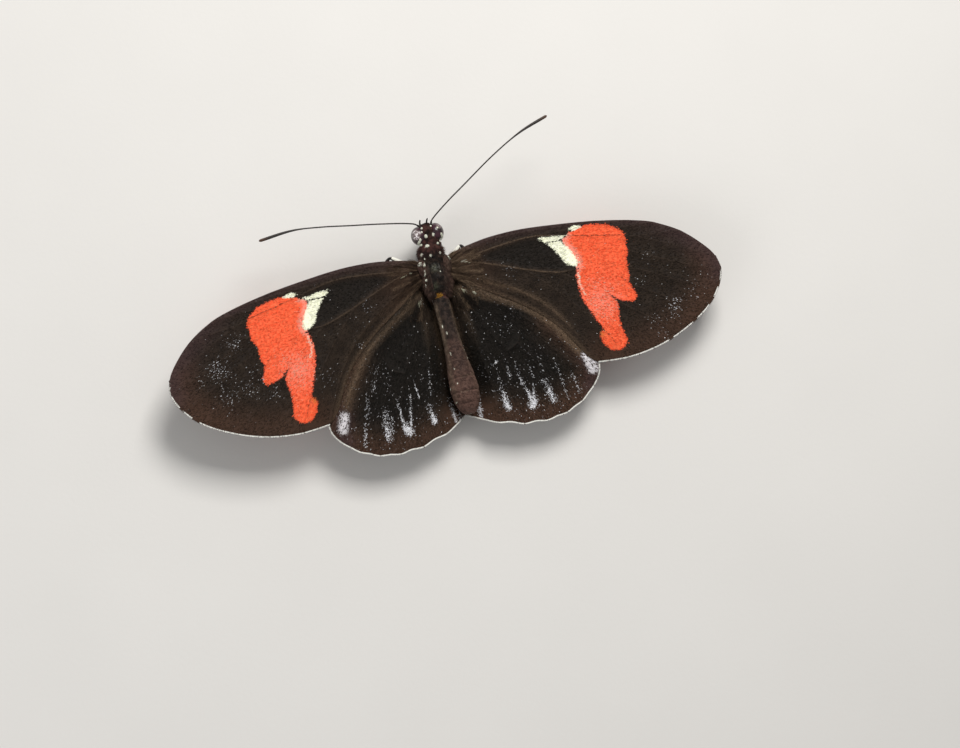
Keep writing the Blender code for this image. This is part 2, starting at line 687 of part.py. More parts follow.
def build_body(finishes):
    new_object("thorax", loft(even_rows(THORAX_STATIONS, THORAX_RINGS), THORAX_SQUARENESS), finishes["body"])
    new_object("prothorax", loft(even_rows(PROTHORAX_STATIONS, PROTHORAX_RINGS)), finishes["body"])
    abdomen(finishes["body"])
    head_turn = (
        Matrix.Translation(NECK + HEAD_SHIFT) @ Matrix.Rotation(HEAD_YAW, 4, "Z") @ Matrix.Translation(-NECK)
    )
    new_object("head", turned(loft(even_rows(HEAD_STATIONS, HEAD_RINGS)), head_turn), finishes["body"])
    for label, side, route in (("left", LEFT, ANTENNA_LEFT_PATH), ("right", RIGHT, ANTENNA_RIGHT_PATH)):
        eye("eye_" + label, side, head_turn, finishes["eye"])
        palp("palp_" + label, side, head_turn, finishes["leg"])
        antenna("antenna_" + label, side, route, head_turn, finishes["feeler"])
    proboscis(head_turn, finishes["feeler"])


def build_legs(finish):
    for label, side, middle, hind in (
        ("left", LEFT, MIDLEG_LEFT, HINDLEG_LEFT),
        ("right", RIGHT, MIDLEG_RIGHT, HINDLEG_RIGHT),
    ):
        front_leg("foreleg_" + label, side, finish)
        walking_leg("midleg_" + label, side, middle, finish)
        walking_leg("hindleg_" + label, side, hind, finish)


def settle_on_origin():
    """Turn millimetres to metres and put the origin under the middle of the whole."""
    low = Vector((math.inf, math.inf, math.inf))
    high = -low
    for node in bpy.context.scene.objects:
        for vertex in node.data.vertices:
            low = Vector(map(min, low, vertex.co))
            high = Vector(map(max, high, vertex.co))
    base = Vector(((low.x + high.x) / 2.0, (low.y + high.y) / 2.0, low.z))
    for node in bpy.context.scene.objects:
        node.data.transform(Matrix.Scale(MM, 4) @ Matrix.Translation(-base))
        node.data.shade_smooth()
        node.data.set_sharp_from_angle(angle=math.radians(35.0))


def main():
    clear_scene()
    finishes = {
        "wing": material("wing", (0.012, 0.009, 0.008), 0.8),
        "body": material("body", (0.035, 0.025, 0.023), 0.8),
        "eye": material("eye", (0.03, 0.015, 0.02), 0.15),
        "feeler": material("feeler", (0.02, 0.014, 0.01), 0.5),
        "leg": material("leg", (0.02, 0.018, 0.018), 0.6),
    }
    build_body(finishes)
    build_legs(finishes["leg"])
    build_wings(finishes)
    settle_on_origin()


main()
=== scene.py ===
"""The looks of a life-size postman butterfly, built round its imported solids.

Places are in millimetres in the part's own frame, before it was set on its origin: x to the
butterfly's left, y to its tail and z up from the floor. to_row turns them into the row's metres.
Wings are drawn once, with x measured outward from the body, and set on each side.
"""
import math

import bpy
import numpy as np
from mathutils import Matrix, Vector, geometry


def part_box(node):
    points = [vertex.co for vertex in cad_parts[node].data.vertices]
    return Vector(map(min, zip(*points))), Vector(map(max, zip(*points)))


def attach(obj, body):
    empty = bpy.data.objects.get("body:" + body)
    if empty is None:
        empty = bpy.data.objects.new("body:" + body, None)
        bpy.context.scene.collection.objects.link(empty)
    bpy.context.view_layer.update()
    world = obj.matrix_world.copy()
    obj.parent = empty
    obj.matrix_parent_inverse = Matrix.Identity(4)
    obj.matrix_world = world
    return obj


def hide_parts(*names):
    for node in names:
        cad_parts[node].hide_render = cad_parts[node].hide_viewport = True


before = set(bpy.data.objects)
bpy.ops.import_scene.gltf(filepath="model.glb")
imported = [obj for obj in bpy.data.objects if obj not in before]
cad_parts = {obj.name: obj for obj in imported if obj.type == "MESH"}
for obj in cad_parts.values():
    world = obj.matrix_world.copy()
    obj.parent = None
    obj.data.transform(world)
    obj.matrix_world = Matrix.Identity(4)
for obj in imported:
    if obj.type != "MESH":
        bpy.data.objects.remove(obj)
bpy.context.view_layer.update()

MM = 0.001
LEFT = 1
RIGHT = -1
SIDES = (("left", LEFT), ("right", RIGHT))
THORAX_CORNER = np.array((-1.95, -1.20, 3.60))
SHIFT = np.array(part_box("thorax")[0]) / MM - THORAX_CORNER
RANDOM = np.random.default_rng(11)

# Camera: its lean from the vertical toward the left side and the tail, and its turn in the picture.
CAMERA_TARGET = np.array((-2.69, 14.66, 6.5))
CAMERA_DISTANCE = 360.0
CAMERA_SIDE_TILT = math.radians(10.0)
CAMERA_TAIL_TILT = math.radians(5.0)
CAMERA_TURN = math.radians(12.9)
CAMERA_LENS = 105.0
SENSOR = 36.0

# Body. A station holds y, half width, height above and below the axis, the axis's x and z, and squareness.
COAT_DEPTH = 0.12
BODY_STATIONS = np.array((
    (-6.03, 0.14, 0.14, 0.14, 0.00, 5.36, 2.0),
    (-5.98, 0.42, 0.44, 0.42, 0.00, 5.36, 2.0),
    (-5.85, 0.76, 0.76, 0.72, 0.00, 5.36, 2.0),
    (-5.40, 1.04, 1.06, 1.12, 0.00, 5.38, 2.0),
    (-4.80, 1.12, 1.16, 1.30, 0.00, 5.38, 2.0),
    (-4.10, 1.22, 1.08, 1.20, 0.00, 5.38, 2.0),
    (-3.60, 1.34, 0.98, 1.02, 0.00, 5.40, 2.0),
    (-3.30, 1.26, 0.90, 0.90, 0.00, 5.40, 2.0),
    (-3.10, 1.20, 0.88, 0.90, -0.10, 5.41, 2.0),
    (-2.92, 1.28, 0.98, 0.98, -0.14, 5.42, 2.0),
    (-2.55, 1.42, 1.12, 1.18, -0.12, 5.44, 2.0),
    (-2.00, 1.50, 1.24, 1.34, -0.08, 5.48, 2.0),
    (-1.50, 1.46, 1.26, 1.40, -0.04, 5.52, 2.1),
    (-1.20, 1.42, 1.35, 1.50, 0.00, 5.55, 2.3),
    (-0.60, 1.74, 1.66, 1.80, 0.00, 5.58, 2.3),
    (0.40, 1.95, 1.90, 2.00, 0.00, 5.60, 2.3),
    (1.50, 1.93, 1.88, 2.00, 0.00, 5.62, 2.3),
    (2.30, 1.80, 1.62, 1.85, 0.00, 5.64, 2.3),
    (2.95, 1.58, 1.46, 1.55, 0.00, 5.65, 2.3),
    (3.55, 1.22, 1.12, 1.22, 0.00, 5.65, 2.2),
    (3.70, 1.14, 1.04, 1.14, 0.00, 5.65, 2.1),
    (3.85, 1.14, 1.06, 1.14, 0.00, 5.66, 2.1),
    (5.00, 1.16, 1.08, 1.14, 0.00, 5.68, 2.1),
    (8.00, 1.16, 1.10, 1.14, -0.10, 5.68, 2.1),
    (10.00, 1.28, 1.20, 1.25, -0.22, 5.62, 2.1),
    (12.00, 1.46, 1.36, 1.40, -0.32, 5.54, 2.1),
    (14.00, 1.78, 1.60, 1.62, -0.40, 5.46, 2.1),
    (16.00, 1.94, 1.72, 1.74, -0.48, 5.34, 2.1),
    (17.50, 1.80, 1.62, 1.62, -0.54, 5.16, 2.1),
    (18.50, 1.40, 1.28, 1.30, -0.58, 4.98, 2.1),
    (19.00, 0.98, 0.92, 0.96, -0.60, 4.84, 2.1),
    (19.20, 0.66, 0.60, 0.64, -0.61, 4.77, 2.1),
    (19.25, 0.16, 0.16, 0.16, -0.61, 4.76, 2.1),
))
ABDOMEN_STATIONS = BODY_STATIONS[21:-2]
BODY_STEP = 0.065
BODY_COLUMNS = 120
SEGMENT_ENDS = (5.6, 7.9, 10.1, 12.3, 14.4, 16.3, 17.8)
HEAD_YAW = math.radians(2.5)
HEAD_SHIFT = np.array((-0.28, 0.0, 0.0))
NECK = np.array((0.0, -3.15, 5.41))

# Wings, as in the part.
HINGE = np.array((2.2, 0.8))
SWEEP = {
    "forewing_left": math.radians(1.5),
    "forewing_right": math.radians(-1.3),
    "hindwing_left": math.radians(1.1),
    "hindwing_right": math.radians(-1.4),
}
WING_RISE = {LEFT: 0.055, RIGHT: 0.01}
WING_DROOP = 0.0004
WING_GAP = 0.80
FOREWING_Z = 6.5
HINDWING_Z = 5.35
HINDWING_FALL = 0.03
HINDWING_FALL_START = 3.35
GUTTER_SLOPE = 0.7
GUTTER_CLEARANCE = 0.66
GUTTER_SOFTNESS = 0.3
FOREWING_ROOT = ((1.25, -0.70), (1.85, -1.15))
FOREWING_ROOT_BACK = ((2.1, 1.85), (1.3, 1.55))
FOREWING_COSTA = ((3.1, -1.58), (5.0, -2.0), (8.0, -2.4), (12.0, -2.48), (17.0, -2.05), (22.0, -1.4))
FOREWING_TIP = ((26.5, -0.5), (29.6, 0.45), (32.9, 2.35), (35.35, 4.7), (36.6, 6.6), (36.85, 8.6))
FOREWING_MARGIN = ((35.8, 11.1), (33.5, 13.35), (29.7, 15.4), (26.0, 16.6), (22.2, 17.1), (19.6, 16.95))
FOREWING_BACK = (
    (18.1, 16.6), (16.9, 15.6), (15.5, 13.2), (13.9, 10.7), (11.8, 8.5), (9.3, 6.5), (6.4, 4.6),
    (3.8, 2.95),
)
F_RADIUS_FORK = (13.2, -1.2)
F_CELL_TOP = (17.4, -0.42)
F_STALK_FORK = (20.8, 0.35)
F_APEX_FORK = (26.6, 1.7)
F_CELL_UPPER = (18.0, 0.6)
F_CELL_MIDDLE = (18.3, 2.1)
F_CELL_BOTTOM = (18.1, 4.2)
F_CUBITUS_FORK = (11.4, 2.75)
F_CUBITUS_SECOND = (15.6, 4.1)
FOREWING_VEINS = {
    "subcosta": ((1.9, -0.5), (7.0, -1.85), (12.0, -2.0), (17.0, -1.65), (22.0, -1.4)),
    "radius": (
        (1.9, -0.1), (4.7, -0.42), (8.9, -1.0), F_RADIUS_FORK, F_CELL_TOP, F_STALK_FORK, F_APEX_FORK,
        (36.6, 6.6),
    ),
    "radius_first": (F_RADIUS_FORK, (19.0, -1.1), (26.5, -0.5)),
    "radius_second": (F_STALK_FORK, (25.0, 0.2), (29.6, 0.45)),
    "radius_third": (F_APEX_FORK, (30.0, 2.0), (32.9, 2.35)),
    "cell_end": (F_CELL_TOP, F_CELL_UPPER, F_CELL_MIDDLE, F_CELL_BOTTOM),
    "media_first": (F_CELL_UPPER, (24.0, 2.75), (30.0, 5.6), (36.85, 8.6)),
    "media_second": (F_CELL_MIDDLE, (24.0, 4.9), (30.0, 8.1), (35.8, 11.1)),
    "cubitus": ((1.9, 0.0), (3.6, -0.1), (8.3, 1.5), F_CUBITUS_FORK, F_CUBITUS_SECOND, F_CELL_BOTTOM),
    "media_third": (F_CELL_BOTTOM, (21.0, 5.1), (23.3, 6.4), (24.4, 7.5), (27.5, 9.6), (33.5, 13.35)),
    "cubitus_first": (F_CUBITUS_SECOND, (18.6, 6.1), (21.5, 8.4), (22.5, 9.6), (29.7, 15.4)),
    "cubitus_second": (F_CUBITUS_FORK, (14.8, 6.3), (17.6, 9.8), (19.6, 12.7), (20.8, 15.1), (22.2, 17.1)),
    "anal": ((1.9, 0.7), (6.5, 2.9), (10.4, 5.5), (13.6, 8.6), (16.2, 12.6), (18.1, 16.6)),
}
HINDWING_ROOT = ((1.25, 1.5), (2.1, 1.2))
HINDWING_ROOT_BACK = ((0.95, 4.0), (1.1, 3.0))
HINDWING_COSTA = ((4.0, 1.9), (7.5, 3.6), (11.2, 6.1), (14.4, 9.4), (16.7, 13.0))
HINDWING_MARGIN = (
    (18.2, 16.2), (18.15, 17.6), (17.75, 18.5), (17.0, 19.45), (16.0, 20.3), (15.0, 21.1), (13.8, 21.6),
    (12.6, 22.15), (11.2, 22.3), (9.8, 22.55), (8.3, 22.3), (6.7, 22.3), (5.0, 21.65), (3.3, 21.3),
    (2.0, 20.6), (0.95, 19.95),
)
HINDWING_INNER = ((0.2, 19.3), (0.3, 18.0), (0.45, 15.5), (0.5, 12.0), (0.5, 8.5), (0.6, 5.6))
H_RADIUS_FORK = (4.4, 3.2)
H_CELL_TOP = (8.6, 7.4)
H_CELL_MIDDLE = (9.2, 9.6)
H_CELL_LOWER = (8.4, 11.6)
H_CELL_BOTTOM = (6.9, 12.4)
H_CUBITUS_FORK = (4.6, 8.6)
H_STEM = (1.9, 1.9)
HINDWING_VEINS = {
    "subcosta": (H_STEM, H_RADIUS_FORK, (8.3, 4.9), (12.4, 8.2), (15.6, 12.2), (18.2, 16.2)),
    "radius": (H_RADIUS_FORK, H_CELL_TOP, (12.6, 11.4), (15.8, 14.8), (18.15, 17.6)),
    "cell_end": (H_CELL_TOP, H_CELL_MIDDLE, H_CELL_LOWER, H_CELL_BOTTOM),
    "media_first": (H_CELL_TOP, (11.6, 12.0), (14.6, 15.9), (17.0, 19.45)),
    "media_second": (H_CELL_MIDDLE, (12.0, 14.6), (15.0, 21.1)),
    "media_third": (H_CELL_LOWER, (10.6, 16.0), (12.6, 22.15)),
    "cubitus": (H_STEM, (3.5, 5.4), H_CUBITUS_FORK, H_CELL_BOTTOM),
    "cubitus_first": (H_CELL_BOTTOM, (8.4, 16.6), (9.8, 22.55)),
    "cubitus_second": (H_CUBITUS_FORK, (5.5, 13.0), (6.3, 18.0), (6.7, 22.3)),
    "anal": ((2.0, 3.1), (2.7, 7.0), (3.3, 12.0), (3.9, 17.0), (3.3, 21.25)),
}
SHEET_STEP = 0.25
RIM_STEP = 0.24
VEIN_ROWS = (-0.2, -0.09, 0.0, 0.09, 0.2)
SHEET_HALF = 0.05

# The forewing's red band and its cream edge, in the wing's plan. BAND_SHIFT is how much the
# left band's front end lies nearer the tail, and the right one nearer the head.
BAND_SHIFT = 0.27
BAND = (
    (17.2, 0.3), (18.4, -0.45), (20.1, -0.85), (21.0, -0.85), (22.3, -0.6), (23.4, -0.35), (24.2, 0.15),
    (25.0, 0.8), (25.4, 1.7), (25.3, 2.5), (25.3, 3.7), (24.8, 4.6), (24.7, 5.6), (24.75, 6.5),
    (24.4, 7.4), (24.8, 8.5), (25.1, 9.4), (24.6, 9.9), (23.5, 9.8), (22.6, 9.4), (21.7, 8.6),
    (22.3, 9.8), (22.1, 11.0), (22.0, 12.2), (22.1, 13.4), (22.4, 14.6), (21.8, 15.5), (21.0, 15.8),
    (20.1, 15.5), (19.3, 14.6), (18.95, 13.7), (19.1, 13.0), (19.65, 12.6), (19.2, 11.8), (18.8, 10.8),
    (18.4, 9.7), (17.95, 8.5), (17.8, 7.3), (17.7, 6.2), (17.8, 5.2), (18.15, 4.3), (17.7, 2.6),
    (17.2, 1.4),
)
COSTAL_CREAM = (
    (18.25, -0.75), (18.5, -1.0), (19.0, -1.12), (19.7, -1.0), (20.1, -0.75), (19.3, -0.5), (18.7, -0.5),
)
CELL_CREAM = (
    (14.0, -0.5), (14.8, -0.5), (15.8, -0.4), (17.0, -0.2), (17.8, -0.1), (16.9, 0.3), (17.3, 1.0),
    (17.7, 1.6), (18.1, 2.3), (18.4, 2.9), (18.5, 3.6), (18.3, 4.1), (17.6, 3.9), (17.0, 3.5),
    (16.6, 2.9), (16.2, 2.1), (15.8, 1.4), (15.3, 0.7), (14.7, 0.15),
)
CREAM_CRACK = ((14.9, 0.3), (16.9, 0.3))
PALE_STREAK = ((18.15, 4.9), (17.95, 6.3), (18.35, 7.7))
BLUSH_CENTRE = (20.2, 9.0)
BAND_NICKS = (
    ((23.3, 6.4), (24.4, 7.6)), ((21.5, 8.4), (22.3, 9.5)), ((19.6, 12.7), (20.3, 13.9), (20.8, 15.1)),
)
OCHRE_SCALES = (19.3, 13.1)
ANAL_FOLD = ((5.0, 2.5), (6.5, 3.3), (9.7, 5.0), (12.2, 6.8), (13.7, 8.5), (15.1, 10.5), (16.4, 12.8))

# The hindwing's pale strip, silver patch and frosted streaks, in its plan. A streak holds its line
# from the body outward, its half width and how thick its frost lies at its end.
STRIP = {
    LEFT: (
        (2.9, 3.1), (4.8, 4.5), (6.7, 5.6), (8.5, 6.8), (10.4, 8.1), (11.8, 9.6), (13.0, 11.2),
        (14.2, 12.9), (15.2, 14.9),
    ),
    RIGHT: (
        (2.9, 3.0), (6.0, 4.8), (8.4, 6.0), (10.4, 7.2), (12.2, 8.8), (13.6, 10.4), (14.9, 12.6),
        (16.2, 14.8),
    ),
}
SILVER = {LEFT: ((15.9, 16.2), (16.4, 17.7)), RIGHT: ((16.8, 15.4), (17.2, 17.2))}
FROST = {
    LEFT: (
        (((8.7, 15.6), (8.5, 19.4)), 0.17, 0.75), (((6.8, 15.2), (7.7, 19.4)), 0.15, 0.6),
        (((8.3, 19.0), (8.1, 19.8)), 0.5, 1.0), (((6.0, 13.7), (5.8, 15.9)), 0.09, 0.6),
        (((3.6, 12.4), (4.2, 15.7)), 0.16, 0.25), (((4.7, 17.2), (4.5, 19.3)), 0.34, 0.8),
        (((10.6, 16.6), (10.8, 20.0)), 0.45, 0.6), (((9.9, 17.4), (10.1, 19.4)), 0.18, 0.5),
        (((13.4, 17.6), (14.0, 20.4)), 0.2, 0.5), (((1.7, 16.6), (1.7, 19.8)), 0.25, 0.6),
        (((0.8, 18.4), (0.9, 19.8)), 0.3, 0.5), (((12.3, 13.4), (12.9, 16.8)), 0.3, 0.2),
        (((10.0, 10.4), (11.3, 13.6)), 0.4, 0.12),
    ),
    RIGHT: (
        (((4.0, 13.9), (5.2, 13.45)), 0.11, 1.0), (((6.3, 13.6), (6.3, 16.0)), 0.16, 0.45),
        (((7.4, 14.0), (7.7, 17.0)), 0.15, 0.45), (((7.8, 16.6), (8.5, 19.6)), 0.2, 0.8),
        (((9.1, 17.3), (8.6, 19.6)), 0.16, 0.75), (((8.6, 19.1), (8.4, 20.0)), 0.5, 1.0),
        (((4.9, 16.8), (5.2, 19.6)), 0.4, 0.7), (((9.1, 14.2), (9.3, 16.4)), 0.18, 0.35),
        (((10.6, 17.2), (11.2, 19.9)), 0.45, 0.6), (((12.5, 14.6), (13.1, 20.2)), 0.12, 0.4),
        (((14.4, 17.2), (14.8, 19.8)), 0.2, 0.45), (((1.9, 16.8), (1.6, 19.8)), 0.25, 0.6),
        (((4.9, 13.8), (5.0, 16.2)), 0.2, 0.2), (((10.4, 13.6), (10.8, 16.0)), 0.3, 0.15),
    ),
}
# Places where glints are painted on loose scales, as bright scales: the middle, its half width, and the
# share of bright scales.
PAINTED_GLINT_PATCHES = {
    ("forewing", LEFT): (
        (27.6, 3.9, 1.3, 0.12), (30.3, 6.8, 1.5, 0.20), (26.9, 9.9, 1.2, 0.16), (24.2, 11.2, 1.0, 0.14),
        (26.0, 8.6, 1.6, 0.07), (29.8, 9.8, 2.2, 0.07), (17.2, 10.6, 1.6, 0.07), (11.6, 7.6, 0.8, 0.10),
        (9.6, 3.3, 1.0, 0.07), (11.2, 4.2, 1.2, 0.05), (33.0, 7.6, 0.9, 0.10),
    ),
    ("forewing", RIGHT): (
        (27.4, 4.4, 1.3, 0.06), (29.6, 12.0, 1.3, 0.16), (27.3, 15.0, 0.9, 0.12), (32.8, 10.2, 1.4, 0.07),
        (26.6, 12.6, 1.2, 0.06), (25.6, 7.6, 1.2, 0.05), (9.5, 2.7, 1.6, 0.04),
    ),
    ("hindwing", LEFT): ((10.5, 12.0, 1.8, 0.035), (4.0, 8.0, 1.5, 0.02)),
    ("hindwing", RIGHT): ((7.5, 8.6, 2.4, 0.032), (4.0, 8.0, 2.0, 0.022)),
}
# Single scales painted bright as glints, in the wings' plans.
PAINTED_GLINTS = {
    ("forewing", LEFT): (
        (27.4, 4.2), (30.8, 6.8), (32.9, 7.4), (26.9, 10.2), (26.7, 10.4), (25.7, 9.1), (23.6, 11.6),
        (29.3, 10.9), (29.6, 11.3), (32.1, 11.2), (11.5, 7.6), (11.7, 7.9), (11.9, 7.4), (9.9, 4.8),
        (17.6, 11.9), (17.4, 10.1), (28.4, 8.6), (30.4, 7.2),
    ),
    ("forewing", RIGHT): (
        (29.6, 12.2), (30.3, 12.6), (25.7, 13.9), (27.1, 15.5), (34.0, 8.6), (26.1, 7.8), (28.8, 10.5),
        (27.6, 4.5), (18.6, 12.9), (8.9, 2.9), (6.3, 2.2), (29.0, 11.6), (26.6, 13.3),
    ),
    ("hindwing", LEFT): ((10.1, 11.0), (11.1, 13.1), (4.0, 7.5), (2.6, 6.6), (11.9, 12.2), (9.0, 11.8)),
    ("hindwing", RIGHT): (
        (3.5, 6.5), (5.2, 8.2), (7.4, 8.3), (2.4, 8.7), (8.8, 10.4), (11.3, 11.1), (5.9, 7.4),
        (6.6, 8.9), (4.4, 9.4),
    ),
}
# Where the margin's fringe is white, in the wings' plans.
WHITE_EDGE = {
    ("forewing", LEFT): (
        ((37.0, 7.2), (36.7, 9.9)), ((35.8, 11.4), (35.5, 11.8)), ((34.0, 13.2), (31.2, 14.9)),
        ((30.6, 15.2), (28.0, 16.2)), ((27.4, 16.4), (23.0, 17.2)), ((22.4, 17.2), (18.0, 16.8)),
    ),
    ("forewing", RIGHT): (
        ((36.4, 8.9), (36.4, 9.2)), ((35.7, 11.2), (35.6, 11.5)), ((33.7, 13.1), (32.7, 13.9)),
        ((31.0, 14.9), (29.0, 15.7)), ((27.3, 16.3), (24.1, 17.0)), ((24.0, 17.0), (18.0, 16.7)),
    ),
}

# The pale hairs at each root, and the hindwing's underside: its yellow streak and red dots.
ROOT_STREAK = {
    ("forewing", LEFT): ((2.9, 0.0), (4.1, 0.3)),
    ("forewing", RIGHT): ((3.5, -0.1), (4.4, 0.3)),
    ("hindwing", LEFT): ((2.2, 3.2), (3.0, 3.9)),
    ("hindwing", RIGHT): ((2.4, 3.0), (4.4, 4.0)),
}
UNDER_STREAK = ((2.6, 2.4), (7.0, 4.4), (10.5, 6.7))
UNDER_DOTS = ((2.6, 3.6), (3.6, 4.8), (2.6, 5.2), (1.9, 4.2))
FRINGE_INSET = 0.15
FRINGE_STEP = 0.035


def smooth(values, low, high):
    """Zero at low and one at high, with a soft start and end."""
    share = np.clip((values - low) / (high - low), 0.0, 1.0)
    return share * share * (3.0 - 2.0 * share)


def bell(values, width):
    """One at zero, and about a third at the width."""
    return np.exp(-((values / width) ** 2))


def unit(vectors):
    """The same directions, each of length one."""
    vectors = np.asarray(vectors, float)
    return vectors / np.maximum(np.linalg.norm(vectors, axis=-1, keepdims=True), 1e-12)


def to_row(points):
    """Places from the part's millimetres in the row's metres."""
    return (np.asarray(points, float) + SHIFT) * MM


def spline(points, step):
    """Points along the same smooth curve that the part's source draws through the given ones."""
    points = [np.array(p, float) for p in points]
    count = len(points)
    line = []
    for i in range(count - 1):
        b = points[i]
        c = points[i + 1]
        a = points[i - 1] if i > 0 else b * 2.0 - c
        d = points[i + 2] if i + 2 < count else c * 2.0 - b
        reach = np.linalg.norm(c - b)
        tangent_b = (c - a) * reach / (reach + np.linalg.norm(b - a))
        tangent_c = (d - b) * reach / (np.linalg.norm(d - c) + reach)
        for t in np.arange(max(1, round(reach / step))) / max(1, round(reach / step)):
            line.append(
                b * (2.0 * t**3 - 3.0 * t**2 + 1.0) + tangent_b * (t**3 - 2.0 * t**2 + t)
                + c * (-2.0 * t**3 + 3.0 * t**2) + tangent_c * (t**3 - t**2)
            )
    line.append(points[-1])
    return np.array(line)


def along_line(line, places, wanted):
    """A line's points at the wanted places along it."""
    return np.stack([np.interp(wanted, places, line[:, k]) for k in range(line.shape[1])], -1)


def even_line(line, step):
    """A line's points again, evenly spaced."""
    lengths = np.concatenate(([0.0], np.cumsum(np.linalg.norm(np.diff(line, axis=0), axis=1))))
    places = np.linspace(0.0, lengths[-1], max(2, round(lengths[-1] / step) + 1))
    return along_line(line, lengths, places)


def from_line(points, line):
    """Each point's distance to a line."""
    line = np.asarray(line, float)
    starts = line[:-1]
    runs = line[1:] - starts
    offsets = points[:, None, :] - starts[None]
    share = np.clip((offsets * runs).sum(-1) / np.maximum((runs * runs).sum(-1), 1e-12), 0.0, 1.0)
    return np.linalg.norm(offsets - runs[None] * share[..., None], axis=-1).min(1)


def is_inside(points, outline):
    """Which points lie inside a closed outline, by counting the edges to their right."""
    a = np.asarray(outline, float)
    b = np.roll(a, -1, axis=0)
    above = (a[None, :, 1] > points[:, None, 1]) != (b[None, :, 1] > points[:, None, 1])
    rise = np.where(np.abs(b[:, 1] - a[:, 1]) < 1e-12, 1e-12, b[:, 1] - a[:, 1])
    crossing = a[:, 0] + (points[:, None, 1] - a[:, 1]) * (b[:, 0] - a[:, 0]) / rise
    return ((above & (points[:, None, 0] < crossing)).sum(1) % 2).astype(bool)


def depth_in(points, outline):
    """How deep each point lies inside a closed outline, negative outside it."""
    closed = np.vstack((outline, outline[:1]))
    away = from_line(points, closed)
    return np.where(is_inside(points, outline), away, -away)


def from_lines(points, lines):
    """Each point's distance to the nearest of several lines."""
    return np.min([from_line(points, line) for line in lines], axis=0)


def mirrored(points, side):
    """Places drawn for the left side, set on either side."""
    return np.asarray(points, float) * (side, 1.0, 1.0)


def turn_about_z(angle):
    """The matrix of a turn seen from above."""
    cos, sin = math.cos(angle), math.sin(angle)
    return np.array(((cos, -sin, 0.0), (sin, cos, 0.0), (0.0, 0.0, 1.0)))


def band_faces(rows, columns):
    """Four-sided faces that join rings of points into a tube."""
    order = np.arange(rows * columns).reshape(rows, columns)
    a, b = order[:-1], order[1:]
    quads = np.stack((a, np.roll(a, -1, 1), np.roll(b, -1, 1), b), -1).reshape(-1, 4)
    return [tuple(f) for f in quads], order


def new_mesh(name, verts, faces, finish, fields=None, uv=None):
    """A smooth mesh object with named values at its points."""
    mesh = bpy.data.meshes.new(name)
    mesh.from_pydata(to_row(verts).tolist(), [], [tuple(f) for f in faces])
    for label, values in (fields or {}).items():
        values = np.asarray(values, np.float32)
        vector = values.ndim == 2
        made = mesh.attributes.new(label, "FLOAT_VECTOR" if vector else "FLOAT", "POINT")
        made.data.foreach_set("vector" if vector else "value", values.ravel())
    if uv is not None:
        corners = np.zeros(len(mesh.loops), np.int32)
        mesh.loops.foreach_get("vertex_index", corners)
        layer = mesh.uv_layers.new(name="OFBake")
        layer.data.foreach_set("uv", np.asarray(uv, np.float32)[corners].ravel())
    mesh.shade_smooth()
    mesh.materials.append(finish)
    piece = bpy.data.objects.new(name, mesh)
    bpy.context.scene.collection.objects.link(piece)
    return piece


def add_piece(name, verts, faces, finish, stands_for=(), fields=None, uv=None):
    """A mesh that rides on the body, takes a slot's finish and may stand for a node."""
    piece = new_mesh(name, verts, faces, finish, fields, uv)
    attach(piece, "root")
    if stands_for:
        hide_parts(*stands_for)
    return piece


